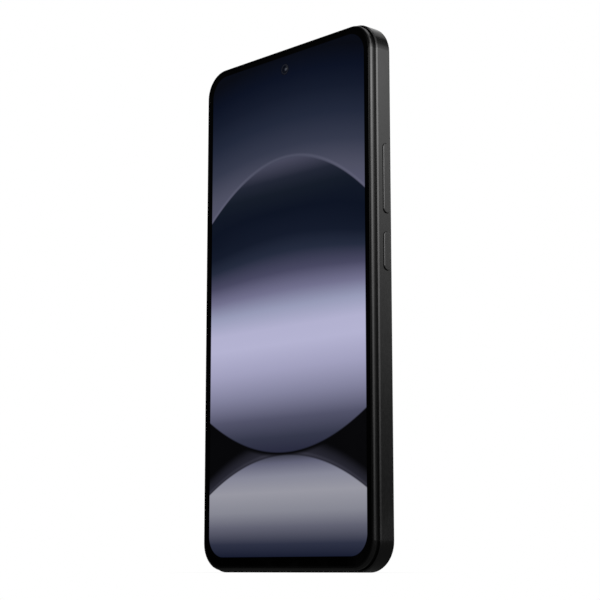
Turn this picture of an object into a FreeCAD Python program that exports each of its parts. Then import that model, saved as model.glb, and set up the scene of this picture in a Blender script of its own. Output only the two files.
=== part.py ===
import FreeCAD, Part
import math
import os
import re

import Sketcher
from FreeCAD import Vector

# A slab smartphone standing on its bottom edge.
# X runs to the right seen from the front, the screen faces -Y, Z is up.
# The origin is the middle of the bottom edge, on the plane halfway through the slab.
# All sizes are in millimetres and live in the Dimensions sheet.
SIZES = {
    # the slab
    "body_width": 75.7,
    "body_height": 162.4,
    "half_thickness": 4.0,
    "corner_radius": 9.0,
    # side frame
    "band_wall": 1.6,
    "band_chamfer": 0.35,
    # ring round the glass
    "ring_inset": 0.6,
    "ring_wall": 0.85,
    "ring_ledge": 0.8,
    "lip_radius": 0.7,
    "shade_groove_depth": 0.35,
    "shade_groove_height": 1.05,
    # glass and display
    "glass_gap": 0.05,
    "glass_recess": 0.05,
    "glass_thickness": 0.6,
    "glass_edge": 0.2,
    "panel_gap": 0.15,
    "panel_thickness": 1.1,
    "foam_thickness": 0.3,
    "adhesive_thickness": 0.2,
    # middle plate and its screw bosses
    "plate_thickness": 0.7,
    "plate_gap": 0.05,
    "boss_radius": 1.5,
    "screw_radius": 0.65,
    "screw_head_radius": 1.3,
    "screw_head_height": 0.35,
    "screw_clearance": 0.05,
    # back cover
    "cover_thickness": 0.8,
    "cover_inset": 0.1,
    "cover_edge_radius": 0.7,
    "cover_glue": 0.1,
    "glue_inset": 0.65,
    # side keys
    "key_back_gap": 0.2,
    "key_thickness": 2.7,
    "key_gap": 0.09,
    "key_proud": 0.35,
    "key_play": 0.3,
    "key_edge": 0.25,
    "ear_thickness": 0.6,
    "ear_length": 0.8,
    "volume_length": 21.1,
    "volume_drop": 48.25,
    "power_length": 11.5,
    "power_drop": 70.05,
    "switch_spacing": 11.0,
    "switch_radius": 1.2,
    "switch_depth": 0.5,
    "flex_thickness": 0.15,
    "bracket_thickness": 0.4,
    "flex_width": 2.8,
    "bracket_foot": 1.6,
    "bracket_foot_thickness": 0.3,
    # card tray
    "tray_drop": 31.4,
    "tray_face_length": 13.0,
    "tray_face_thickness": 2.5,
    "tray_face_depth": 1.2,
    "tray_gap": 0.06,
    "tray_depth": 28.2,
    "tray_width": 10.6,
    "tray_thickness": 0.8,
    "card_length": 12.3,
    "card_width": 8.8,
    "card_spacing": 13.0,
    "card_start": 2.2,
    "card_corner": 1.0,
    "reader_wall": 0.2,
    "reader_margin": 1.0,
    "tray_slide_gap": 0.15,
    "eject_hole_radius": 0.45,
    # charging port
    "port_lift": 0.27,
    "port_width": 8.94,
    "port_thickness": 3.26,
    "port_wall": 0.3,
    "port_depth": 7.1,
    "port_recess": 0.25,
    "port_gap": 0.06,
    "tongue_width": 6.7,
    "tongue_thickness": 0.7,
    "contact_width": 0.25,
    "contact_pitch": 0.5,
    "contact_length": 4.0,
    "contact_depth": 0.05,
    "contact_start": 1.4,
    "tongue_start": 0.9,
    "gasket_depth": 0.5,
    "gasket_wall": 0.8,
    "gasket_gap": 0.02,
    # bottom and top edge holes
    "speaker_hole_radius": 0.65,
    "speaker_hole_pitch": 2.6,
    "speaker_middle": 18.5,
    "microphone_hole_radius": 0.45,
    "bottom_microphone_x": -14.0,
    "top_microphone_x": -15.0,
    "earpiece_inset": 27.35,
    "microphone_side": 2.7,
    "microphone_width": 3.5,
    "microphone_depth": 1.0,
    "mesh_thickness": 0.15,
    "mesh_width": 2.0,
    "speaker_mesh_length": 16.0,
    "earpiece_mesh_length": 12.0,
    "earpiece_length": 11.0,
    "earpiece_depth": 3.65,
    "earpiece_height": 6.0,
    "speaker_top": 20.0,
    "speaker_gap": 0.05,
    "motor_left_gap": 7.1,
    "motor_length": 14.4,
    "motor_depth": 3.25,
    "motor_bottom": 21.5,
    "motor_height": 7.0,
    # battery
    "battery_thickness": 4.0,
    "battery_bottom": 31.0,
    "battery_end_gap": 2.5,
    "battery_side_gap": 2.75,
    "battery_key_gap": 9.35,
    "sheet_thickness": 0.1,
    "tape_width": 10.0,
    "battery_edge": 0.8,
    # circuit boards
    "board_standoff": 1.3,
    "board_thickness": 0.8,
    "board_gap": 0.85,
    "board_corner": 6.0,
    "main_board_drop": 3.9,
    "main_board_height": 43.0,
    "main_strip_height": 6.0,
    "main_board_inner": 5.0,
    "key_zone": 6.85,
    "sub_board_gap": 0.6,
    "sub_board_top": 29.5,
    "sub_board_right": 7.5,
    "shield_wall": 0.2,
    "can_left": -33.0,
    "can_right": -8.6,
    "can_gap": 0.1,
    "chip_thickness": 0.9,
    "processor_left": -27.0,
    "processor_side": 14.0,
    "memory_left": -26.0,
    "memory_width": 11.5,
    "memory_height": 7.5,
    "boss_gap": 0.15,
    "screw_depth": 0.8,
    "screw_sink": 0.3,
    "coil_width": 20.0,
    "coil_height": 19.0,
    "coil_band": 3.5,
    "coil_x": -20.0,
    "coil_drop": 24.5,
    "back_shield_height": 1.5,
    "shroud_clearance": 1.65,
    "shroud_thickness": 0.55,
    "reader_height": 1.6,
    # cameras
    "lens_inset": 13.35,
    "main_lens_drop": 14.2,
    "lens_spacing": 17.4,
    "column_spacing": 14.5,
    "island_side_gap": 3.35,
    "island_top_gap": 4.9,
    "island_width": 33.0,
    "island_length": 36.0,
    "island_height": 1.2,
    "island_radius": 8.5,
    "island_edge": 0.45,
    "lens_glass_radius": 6.3,
    "lens_glass_seat": 0.6,
    "lens_glass_proud": 0.1,
    "lens_ring_wall": 0.9,
    "lens_ring_height": 0.5,
    "small_glass_radius": 3.4,
    "flash_radius": 2.9,
    "seat_ledge": 1.1,
    "main_barrel_radius": 4.3,
    "focus_lens_radius": 3.2,
    "focus_gap": 0.1,
    "focus_floor": 1.45,
    "focus_rest_gap": 0.25,
    "camera_depth": 3.85,
    "main_camera_side": 11.6,
    "wide_camera_side": 9.6,
    "macro_camera_side": 6.4,
    "flash_side": 5.6,
    "wide_barrel_radius": 3.5,
    "small_barrel_radius": 2.2,
    "front_camera_drop": 7.2,
    "front_camera_hole": 1.85,
    "front_barrel_radius": 1.6,
    "front_camera_side": 6.4,
    # fingerprint reader
    "finger_side": 9.0,
    "finger_z": 42.0,
}

# ---------------------------------------------------------------- levels through the slab
lip_front = "(-half_thickness)"
glass_front = "(-half_thickness + glass_recess)"
glass_back = f"({glass_front} + glass_thickness)"
ledge_front = f"({glass_back} + adhesive_thickness)"
panel_back = f"({glass_back} + panel_thickness)"
plate_front = f"({panel_back} + foam_thickness)"
plate_back = f"({plate_front} + plate_thickness)"
board_front = f"({plate_back} + board_standoff)"
board_back = f"({board_front} + board_thickness)"
shroud_front = f"({board_back} + shroud_clearance)"
shroud_back = f"({shroud_front} + shroud_thickness)"
cover_front = "(half_thickness - cover_thickness)"
cover_back = "(half_thickness)"
island_back = f"({cover_back} + island_height)"

# ---------------------------------------------------------------- levels across the slab
glass_inset = "(ring_inset + ring_wall + glass_gap)"
ledge_inset = "(ring_inset + ring_wall + ring_ledge)"
panel_inset = f"({ledge_inset} + panel_gap)"
right = "(body_width/2)"
left = "(-body_width/2)"
top = "(body_height)"

# ---------------------------------------------------------------- places that follow from the sizes
PLACES = {
    "key_offset": f"{cover_front} - cover_glue - key_back_gap - key_thickness/2",
    "volume_middle": "body_height - volume_drop",
    "power_middle": "body_height - power_drop",
    "tray_middle": "body_height - tray_drop",
    "tray_offset": f"{board_back} + reader_height/2 - 0.05",
    "port_offset": f"{plate_back} + port_lift + port_thickness/2",
    "earpiece_middle": "body_width/2 - earpiece_inset",
    "board_side": "body_width/2 - band_wall - board_gap",
    "main_board_top": "body_height - main_board_drop",
    "main_board_bottom": "main_board_top - main_board_height",
    "main_board_strip": "main_board_bottom + main_strip_height",
    "main_board_right": "body_width/2 - key_zone",
    "sub_board_bottom": "band_wall + sub_board_gap",
    "battery_top": "main_board_bottom - battery_end_gap",
    "battery_left": "band_wall + battery_side_gap - body_width/2",
    "battery_right": "body_width/2 - battery_key_gap",
    "lens_column": "body_width/2 - lens_inset",
    "small_column": "lens_column - column_spacing",
    "main_lens_z": "body_height - main_lens_drop",
    "wide_lens_z": "main_lens_z - lens_spacing",
    "island_right": "body_width/2 - island_side_gap",
    "island_left": "island_right - island_width",
    "island_top": "body_height - island_top_gap",
    "island_bottom": "island_top - island_length",
    "front_camera_z": "body_height - front_camera_drop",
}

document = FreeCAD.newDocument("smartphone")
sheet = document.addObject("Spreadsheet::Sheet", "Dimensions")
for row, (alias, number) in enumerate(SIZES.items(), 1):
    sheet.set(f"A{row}", alias)
    sheet.set(f"B{row}", str(number))
    sheet.setAlias(f"B{row}", alias)
ruler = document.addObject("App::FeaturePython", "ruler")
ruler.addProperty("App::PropertyFloat", "reading")
document.recompute()

# ---------------------------------------------------------------- shared steps


def formula(text):
    """The text with each named size pointing at its cell and each named place written out."""

    def swap(word):
        if word[0] in PLACES:
            return f"({formula(PLACES[word[0]])})"
        return f"Dimensions.{word[0]}" if word[0] in SIZES else word[0]

    return re.sub(r"[a-z_]+", swap, text)


def bind(thing, field, text):
    thing.setExpression(field, formula(text))


def value(text):
    """What a formula comes to just now."""
    bind(ruler, "reading", text)
    ruler.recompute()
    return ruler.reading


def mark(drawing, constraint, text):
    """Adds a measured constraint and ties it to a formula."""
    number = drawing.addConstraint(constraint)
    name = f"size_{number}"
    drawing.renameConstraint(number, name)
    bind(drawing, f"Constraints.{name}", text)


def place_point(drawing, curve, corner, x, y):
    """Holds one point of a curve at x, y from the drawing's origin."""
    for kind, text in (("DistanceX", x), ("DistanceY", y)):
        mark(drawing, Sketcher.Constraint(kind, -1, 1, curve, corner, value(text)), text)


def draw_rounded(drawing, width, height, radius, x="0", y="0"):
    half_w, half_h, r = value(width) / 2, value(height) / 2, value(radius)
    cx, cy = value(x), value(y)
    first = drawing.GeometryCount

    def line(x0, y0, x1, y1):
        return Part.LineSegment(Vector(cx + x0, cy + y0, 0), Vector(cx + x1, cy + y1, 0))

    def corner(x0, y0, start):
        circle = Part.Circle(Vector(cx + x0, cy + y0, 0), Vector(0, 0, 1), r)
        return Part.ArcOfCircle(circle, math.radians(start), math.radians(start + 90))

    inner_w, inner_h = half_w - r, half_h - r
    drawing.addGeometry(
        [
            line(-inner_w, -half_h, inner_w, -half_h),
            corner(inner_w, -inner_h, -90),
            line(half_w, -inner_h, half_w, inner_h),
            corner(inner_w, inner_h, 0),
            line(inner_w, half_h, -inner_w, half_h),
            corner(-inner_w, inner_h, 90),
            line(-half_w, inner_h, -half_w, -inner_h),
            corner(-inner_w, -inner_h, 180),
        ],
        False,
    )
    joins = [
        Sketcher.Constraint("Tangent", first + i, 2, first + (i + 1) % 8, 1) for i in range(8)
    ]
    equal = [Sketcher.Constraint("Equal", first + 1, first + i) for i in (3, 5, 7)]
    level = [Sketcher.Constraint("Horizontal", first), Sketcher.Constraint("Vertical", first + 2)]
    drawing.addConstraint(joins + level + equal)
    wide = Sketcher.Constraint("DistanceX", first + 6, 1, first + 2, 1, 2 * half_w)
    tall = Sketcher.Constraint("DistanceY", first, 1, first + 4, 1, 2 * half_h)
    mark(drawing, wide, width)
    mark(drawing, tall, height)
    mark(drawing, Sketcher.Constraint("Radius", first + 1, r), radius)
    left = f"({x}) - ({width})/2"
    mark(drawing, Sketcher.Constraint("DistanceX", -1, 1, first + 6, 1, value(left)), left)
    low = f"({y}) - ({height})/2"
    mark(drawing, Sketcher.Constraint("DistanceY", -1, 1, first, 1, value(low)), low)


def draw_polygon(drawing, corners):
    points = [Vector(value(x), value(y), 0) for x, y in corners]
    count = len(points)
    first = drawing.GeometryCount
    drawing.addGeometry(
        [Part.LineSegment(points[i], points[(i + 1) % count]) for i in range(count)], False
    )
    drawing.addConstraint(
        [
            Sketcher.Constraint("Coincident", first + i, 2, first + (i + 1) % count, 1)
            for i in range(count)
        ]
    )
    for i, (x, y) in enumerate(corners):
        place_point(drawing, first + i, 1, x, y)


def draw_rectangle(drawing, x0, y0, x1, y1):
    draw_polygon(drawing, [(x0, y0), (x1, y0), (x1, y1), (x0, y1)])


def draw_circle(drawing, radius, x="0", y="0"):
    first = drawing.GeometryCount
    middle = Vector(value(x), value(y), 0)
    drawing.addGeometry(Part.Circle(middle, Vector(0, 0, 1), value(radius)), False)
    mark(drawing, Sketcher.Constraint("Radius", first, value(radius)), radius)
    place_point(drawing, first, 3, x, y)


DRAW = {
    "rounded": draw_rounded,
    "polygon": draw_polygon,
    "rectangle": draw_rectangle,
    "circle": draw_circle,
}
BODIES = {}


def new_body(name):
    body = document.addObject("PartDesign::Body", name)
    body.Label = name
    BODIES[name] = body
    return body


def new_sketch(body, plane, level, outlines):
    """A sketch across the named origin plane, moved along that plane's axis to the level."""
    number = len(body.Group)
    drawing = body.newObject("Sketcher::SketchObject", f"{body.Name}_sketch_{number}")
    support = [item for item in body.Origin.OriginFeatures if item.Role == plane][0]
    drawing.AttachmentSupport = (support, "")
    drawing.MapMode = "FlatFace"
    # the XZ plane looks toward -Y, so levels along Y change sign there
    bind(drawing, "AttachmentOffset.Base.z", f"-({level})" if plane == "XZ_Plane" else level)
    for kind, *sizes in outlines:
        DRAW[kind](drawing, *sizes)
    return drawing


def add(body, plane, start, end, *outlines):
    """Material between two levels of the plane's axis."""
    backward = plane == "XZ_Plane"
    drawing = new_sketch(body, plane, end if backward else start, outlines)
    pad = body.newObject("PartDesign::Pad", f"{body.Name}_pad_{len(body.Group)}")
    pad.Profile = drawing
    bind(pad, "Length", f"({end}) - ({start})")
    body.Tip = pad
    return pad


def cut(body, plane, start, end, *outlines):
    """Takes material away between two levels of the plane's axis."""
    backward = plane == "XZ_Plane"
    document.recompute()
    before = body.Shape.Volume
    drawing = new_sketch(body, plane, start if backward else end, outlines)
    pocket = body.newObject("PartDesign::Pocket", f"{body.Name}_pocket_{len(body.Group)}")
    pocket.Profile = drawing
    bind(pocket, "Length", f"({end}) - ({start})")
    body.Tip = pocket
    document.recompute()
    if before - body.Shape.Volume < 1e-4:
        raise ValueError(f"a pocket of {body.Name} cuts nothing")
    return pocket


def dress(body, kind, field, size, choose):
    """A fillet or chamfer on the edges that choose() picks."""
    document.recompute()
    tip = body.Tip
    names = [f"Edge{i}" for i, edge in enumerate(tip.Shape.Edges, 1) if choose(edge)]
    if not names:
        raise ValueError(f"{body.Name} has no edge to dress")
    feature = body.newObject(f"PartDesign::{kind}", f"{body.Name}_{kind.lower()}_{len(body.Group)}")
    feature.Base = (tip, names)
    bind(feature, field, size)
    body.Tip = feature
    document.recompute()
    return feature


def edges_on(axis, level, least=0.0):
    """Picks edges in the plane axis = level that come as near to the slab's sides as least asks."""
    wanted = value(level)
    middle = value("body_height/2")
    longer = value("body_height/2 - body_width/2")

    def choose(edge):
        box = edge.BoundBox
        low, high = {
            "x": (box.XMin, box.XMax),
            "y": (box.YMin, box.YMax),
            "z": (box.ZMin, box.ZMax),
        }[axis]
        up_or_down = max(abs(box.ZMin - middle), abs(box.ZMax - middle)) - longer
        reach = max(abs(box.XMin), abs(box.XMax), up_or_down)
        return abs(low - wanted) < 1e-4 and abs(high - wanted) < 1e-4 and reach >= least

    return choose


def plate(name, start, end, *outlines):
    """A flat piece lying across the slab between two levels of Y."""
    body = new_body(name)
    add(body, "XZ_Plane", start, end, *outlines)
    return body


def block(name, x0, x1, y0, y1, z0, z1):
    """A plain box between bound limits."""
    box = document.addObject("Part::Box", name)
    for field, low, high in (("Length", x0, x1), ("Width", y0, y1), ("Height", z0, z1)):
        bind(box, field, f"({high}) - ({low})")
    for axis, low in (("x", x0), ("y", y0), ("z", z0)):
        bind(box, f"Placement.Base.{axis}", low)
    box.Label = name
    return box


def rod(name, axis, radius, x, y, z, length):
    """A cylinder from x, y, z along the axis."""
    shape = document.addObject("Part::Cylinder", name)
    turn = {
        "x": FreeCAD.Rotation(Vector(0, 1, 0), 90),
        "y": FreeCAD.Rotation(Vector(1, 0, 0), -90),
        "z": FreeCAD.Rotation(),
    }[axis]
    shape.Placement = FreeCAD.Placement(Vector(0, 0, 0), turn)
    bind(shape, "Radius", radius)
    bind(shape, "Height", length)
    for side, at in (("x", x), ("y", y), ("z", z)):
        bind(shape, f"Placement.Base.{side}", at)
    shape.Label = name
    return shape


def joined(name, pieces):
    whole = document.addObject("Part::MultiFuse", name)
    whole.Shapes = pieces
    whole.Label = name
    BODIES[name] = whole
    return whole


def hollowed(name, outside, inside):
    shape = document.addObject("Part::Cut", name)
    shape.Base = outside
    shape.Tool = inside
    shape.Label = name
    BODIES[name] = shape
    return shape


def kept(shape):
    BODIES[shape.Name] = shape
    return shape


def slab_outline(inset):
    """The phone's outline drawn smaller by the inset."""
    return (
        "rounded",
        f"body_width - 2*({inset})",
        f"body_height - 2*({inset})",
        f"corner_radius - ({inset})",
        "0",
        "body_height/2",
    )


def stadium(short, long, x, y):
    """A long outline with round ends, standing along the drawing's second axis."""
    return ("rounded", short, long, f"({short})/2 - 0.02", x, y)


def flat_stadium(short, long, x, y):
    return ("rounded", long, short, f"({short})/2 - 0.02", x, y)


# Screw bosses on the middle plate: six under the upper shroud, five under the lower one.
UPPER_BOSSES = [
    ("-29", "main_board_top - 4"),
    ("-main_board_inner - 2", "main_board_top - 4"),
    ("-main_board_inner - 1.9", "main_board_top - 20"),
    ("28", "main_board_bottom + 3"),
    ("8", "main_board_bottom + 3"),
    ("-30", "main_board_bottom + 3"),
]
LOWER_BOSSES = [
    ("-30", "sub_board_top - 4"),
    ("-28", "sub_board_bottom + 6.3"),
    ("-9", "sub_board_top - 4"),
    ("sub_board_right - 2.6", "sub_board_bottom + 11"),
    ("sub_board_right + 5", "sub_board_top - 4"),
]


def boss_circles(radius, bosses):
    return [("circle", radius, x, z) for x, z in bosses]


# ---------------------------------------------------------------- side frame
side_frame = plate("side_frame", plate_front, cover_front, slab_outline("0"), slab_outline("band_wall"))
cut(
    side_frame,
    "XZ_Plane",
    f"{cover_front} - cover_glue",
    f"{cover_front} + 1",
    slab_outline("glue_inset"),
)
dress(
    side_frame,
    "Chamfer",
    "Size",
    "band_chamfer",
    edges_on("y", plate_front, value("body_width/2 - 0.1")),
)
cut(
    side_frame,
    "YZ_Plane",
    f"{right} - band_wall - 0.5",
    f"{right} + 0.5",
    stadium("key_thickness + 2*key_gap", "volume_length + 2*key_gap", "key_offset", "volume_middle"),
    stadium("key_thickness + 2*key_gap", "power_length + 2*key_gap", "key_offset", "power_middle"),
)
cut(
    side_frame,
    "YZ_Plane",
    f"{left} - 0.5",
    f"{left} + band_wall + 0.5",
    stadium(
        "tray_face_thickness + 2*tray_gap", "tray_face_length + 2*tray_gap", "tray_offset", "tray_middle"
    ),
)
speaker_holes = [
    ("circle", "speaker_hole_radius", f"speaker_middle + speaker_hole_pitch*({i - 2.5})", "port_offset")
    for i in range(6)
]
cut(
    side_frame,
    "XY_Plane",
    "-0.5",
    "band_wall + 0.5",
    flat_stadium("port_thickness + 2*port_gap", "port_width + 2*port_gap", "0", "port_offset"),
    ("circle", "microphone_hole_radius", "bottom_microphone_x", "port_offset"),
    *speaker_holes,
)
earpiece_holes = [
    (
        "circle",
        "speaker_hole_radius",
        f"earpiece_middle + speaker_hole_pitch*({i - 1.5})",
        "port_offset",
    )
    for i in range(4)
]
cut(
    side_frame,
    "XY_Plane",
    f"{top} - band_wall - 0.5",
    f"{top} + 0.5",
    ("circle", "microphone_hole_radius", "top_microphone_x", "port_offset"),
    *earpiece_holes,
)

# ---------------------------------------------------------------- ring, glass and display
bezel_ring = plate(
    "bezel_ring",
    lip_front,
    plate_front,
    slab_outline("ring_inset"),
    slab_outline(ledge_inset),
)
cut(bezel_ring, "XZ_Plane", f"{lip_front} - 1", ledge_front, slab_outline("ring_inset + ring_wall"))
cut(
    bezel_ring,
    "XZ_Plane",
    f"{plate_front} - shade_groove_height",
    f"{plate_front} + 0.5",
    slab_outline("ring_inset - 0.5"),
    slab_outline("ring_inset + shade_groove_depth"),
)
dress(
    bezel_ring,
    "Fillet",
    "Radius",
    "lip_radius",
    edges_on("y", lip_front, value("body_width/2 - ring_inset - 0.1")),
)

cover_glass = plate("cover_glass", glass_front, glass_back, slab_outline(glass_inset))
dress(cover_glass, "Fillet", "Radius", "glass_edge", edges_on("y", glass_front))

plate("display_adhesive", glass_back, ledge_front, slab_outline(glass_inset), slab_outline(ledge_inset))

camera_hole = ("circle", "front_camera_hole", "0", "front_camera_z")
camera_bay = (
    "rounded", "front_camera_side + 0.4", "front_camera_side + 0.4", "0.6", "0", "front_camera_z"
)
finger_bay = ("rounded", "finger_side + 0.4", "finger_side + 0.4", "0.6", "0", "finger_z")
plate("display_panel", glass_back, panel_back, slab_outline(panel_inset), camera_hole)
plate(
    "display_foam",
    panel_back,
    plate_front,
    slab_outline(f"{panel_inset} + 0.4"),
    camera_bay,
    finger_bay,
    ("rectangle", "-24.5", "4.0", "-11.5", "9.5"),
)

chassis_plate = plate(
    "chassis_plate",
    plate_front,
    plate_back,
    slab_outline("band_wall + plate_gap"),
    camera_bay,
    finger_bay,
    ("rectangle", "-24.5", "4.3", "-11.5", "5.3"),
)
add(
    chassis_plate,
    "XZ_Plane",
    f"{plate_back} - 0.2",
    shroud_front,
    *boss_circles("boss_radius", UPPER_BOSSES + LOWER_BOSSES),
)
cut(
    chassis_plate,
    "XZ_Plane",
    f"{plate_back} + 0.3",
    f"{shroud_front} + 0.5",
    *boss_circles("screw_radius + screw_clearance", UPPER_BOSSES + LOWER_BOSSES),
)

fingerprint_reader = plate(
    "fingerprint_reader",
    panel_back,
    plate_back,
    ("rounded", "finger_side", "finger_side", "0.5", "0", "finger_z"),
)

display_flex = new_body("display_flex")
flex_path = [
    (panel_back, "8.5"),
    (panel_back, "4.6"),
    (f"{plate_back} + 0.3", "4.6"),
    (f"{plate_back} + 0.3", "10"),
    (board_front, "10"),
    (board_front, "12"),
    (f"{plate_back} + 0.15", "12"),
    (f"{plate_back} + 0.15", "4.75"),
    (f"{panel_back} + flex_thickness", "4.75"),
    (f"{panel_back} + flex_thickness", "8.5"),
]
add(display_flex, "YZ_Plane", "-24", "-12", ("polygon", flex_path))

# ---------------------------------------------------------------- back cover and camera island
CAMERAS = [
    ("lens_column", "main_lens_z", "lens_glass_radius", "main_barrel_radius"),
    ("lens_column", "wide_lens_z", "lens_glass_radius", "wide_barrel_radius"),
    ("small_column", "main_lens_z", "small_glass_radius", "small_barrel_radius"),
]
FLASH = ("small_column", "wide_lens_z")
back_cover = plate(
    "back_cover",
    cover_front,
    cover_back,
    slab_outline("cover_inset"),
    *[("circle", f"{barrel} + 0.4", x, z) for x, z, glass, barrel in CAMERAS],
    ("circle", "flash_radius + 0.9", *FLASH),
)
dress(
    back_cover,
    "Fillet",
    "Radius",
    "cover_edge_radius",
    edges_on("y", cover_back, value("body_width/2 - cover_inset - 0.1")),
)
plate(
    "back_cover_adhesive",
    f"{cover_front} - cover_glue",
    cover_front,
    slab_outline("glue_inset + 0.05"),
    slab_outline("band_wall"),
)

island_outline = (
    "rounded",
    "island_right - island_left",
    "island_top - island_bottom",
    "island_radius",
    "(island_right + island_left)/2",
    "(island_top + island_bottom)/2",
)
camera_island = plate(
    "camera_island",
    cover_back,
    island_back,
    island_outline,
    *[("circle", f"{glass} - seat_ledge", x, z) for x, z, glass, barrel in CAMERAS],
    ("circle", "flash_radius - 0.5", *FLASH),
)
seat = f"({cover_back} + lens_glass_seat)"
cut(
    camera_island,
    "XZ_Plane",
    seat,
    f"{island_back} + 0.5",
    *[("circle", f"{glass} + glass_gap", x, z) for x, z, glass, barrel in CAMERAS],
    ("circle", "flash_radius + glass_gap", *FLASH),
)
island_rim = value(island_back)


def island_outer_edge(edge):
    box = edge.BoundBox
    flat = abs(box.YMin - island_rim) < 1e-4 and abs(box.YMax - island_rim) < 1e-4
    return flat and not (edge.Curve.TypeId == "Part::GeomCircle" and len(edge.Vertexes) == 1)


dress(camera_island, "Fillet", "Radius", "island_edge", island_outer_edge)

LENS_NAMES = ("main", "wide", "macro")
for lens, (x, z, glass, barrel) in zip(LENS_NAMES, CAMERAS):
    proud = "lens_glass_proud" if lens != "macro" else "lens_glass_proud/3"
    window = plate(f"{lens}_lens_glass", seat, f"{island_back} + {proud}", ("circle", glass, x, z))
    if lens != "macro":
        trim = plate(
            f"{lens}_lens_ring",
            island_back,
            f"{island_back} + lens_ring_height",
            ("circle", f"{glass} + glass_gap + lens_ring_wall", x, z),
            ("circle", f"{glass} + glass_gap", x, z),
        )
        dress(trim, "Fillet", "Radius", "0.15", edges_on("y", f"{island_back} + lens_ring_height"))
plate("flash_window", seat, island_back, ("circle", "flash_radius", *FLASH))

# ---------------------------------------------------------------- rear and front cameras
camera_back = f"({plate_back} + camera_depth)"
MODULES = {
    "main_camera": ("main_camera_side", "main_barrel_radius", f"{cover_back} - 0.1", CAMERAS[0][:2]),
    "wide_camera": ("wide_camera_side", "wide_barrel_radius", f"{cover_back} + 0.2", CAMERAS[1][:2]),
    "macro_camera": ("macro_camera_side", "small_barrel_radius", f"{cover_back} + 0.2", CAMERAS[2][:2]),
    "flash_lamp": ("flash_side", "flash_side/2 - 1.2", f"{cover_back} + 0.2", FLASH),
}
for name, (side, barrel, barrel_back, middle) in MODULES.items():
    module = plate(name, plate_back, camera_back, ("rounded", side, side, f"{side}/15", *middle))
    add(module, "XZ_Plane", f"{camera_back} - 0.2", barrel_back, ("circle", barrel, *middle))
    if name in ("wide_camera", "macro_camera"):
        cut(
            module,
            "XZ_Plane",
            f"{barrel_back} - 0.4",
            f"{barrel_back} + 1",
            ("circle", f"{barrel} - 1.1", *middle),
        )

main_middle = CAMERAS[0][:2]
focus_floor = f"({plate_back} + focus_floor)"
focus_front = f"({focus_floor} + focus_rest_gap)"
cut(
    BODIES["main_camera"],
    "XZ_Plane",
    focus_floor,
    f"{cover_back} + 1",
    ("circle", "focus_lens_radius + focus_gap", *main_middle),
)
focus_lens = plate(
    "focus_lens",
    focus_front,
    f"{cover_back} - 0.1",
    ("circle", "focus_lens_radius", *main_middle),
)
cut(
    focus_lens,
    "XZ_Plane",
    f"{cover_back} - 0.4",
    f"{cover_back} + 0.5",
    ("circle", "focus_lens_radius - 0.9", *main_middle),
)

front_camera = plate(
    "front_camera",
    f"{panel_back} + 0.05",
    f"{plate_back} + 2.65",
    ("rounded", "front_camera_side", "front_camera_side", "0.4", "0", "front_camera_z"),
)
add(
    front_camera,
    "XZ_Plane",
    f"{glass_back} + 0.03",
    f"{panel_back} + 0.2",
    ("circle", "front_barrel_radius", "0", "front_camera_z"),
)
cut(
    front_camera,
    "XZ_Plane",
    f"{glass_back} - 0.5",
    f"{glass_back} + 0.5",
    ("circle", "front_barrel_radius - 0.5", "0", "front_camera_z"),
)
plate(
    "front_camera_lens",
    f"{glass_back} + 0.2",
    f"{glass_back} + 0.5",
    ("circle", "front_barrel_radius - 0.53", "0", "front_camera_z"),
)

# ---------------------------------------------------------------- side keys and their switches
ear_outside = f"({right} - band_wall - key_play)"
ear_inside = f"({ear_outside} - ear_thickness)"
switch_outside = f"({ear_inside} - key_play)"
switch_inside = f"({switch_outside} - switch_depth)"
flex_inside = f"({switch_inside} - flex_thickness)"
bracket_inside = f"({flex_inside} - bracket_thickness)"
for name, length, middle in (
    ("volume_key", "volume_length", "volume_middle"),
    ("power_key", "power_length", "power_middle"),
):
    key = new_body(name)
    key_face = f"{right} + key_proud"
    add(key, "YZ_Plane", ear_outside, key_face, stadium("key_thickness", length, "key_offset", middle))
    ears = stadium("key_thickness + 0.1", f"{length} + 2*ear_length", "key_offset", middle)
    add(key, "YZ_Plane", ear_inside, ear_outside, ears)
    dress(key, "Fillet", "Radius", "key_edge", edges_on("x", key_face))

SWITCHES = ["volume_middle - switch_spacing/2", "volume_middle + switch_spacing/2", "power_middle"]
joined(
    "key_switches",
    [
        rod(f"switch_{i}", "x", "switch_radius", switch_inside, "key_offset", z, "switch_depth")
        for i, z in enumerate(SWITCHES, 1)
    ],
)
strip_low = "power_middle - power_length/2 - 2"
strip_high = "volume_middle + volume_length/2 - 1"
kept(
    block(
        "key_flex",
        flex_inside,
        switch_inside,
        "key_offset - flex_width/2",
        "key_offset + flex_width/2",
        strip_low,
        strip_high,
    ),
)
joined(
    "key_bracket",
    [
        block(
            "bracket_web",
            bracket_inside,
            flex_inside,
            plate_back,
            "key_offset + flex_width/2",
            strip_low,
            strip_high,
        ),
        block(
            "bracket_foot",
            f"{bracket_inside} - bracket_foot",
            flex_inside,
            plate_back,
            f"{plate_back} + bracket_foot_thickness",
            strip_low,
            strip_high,
        ),
    ],
)

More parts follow.
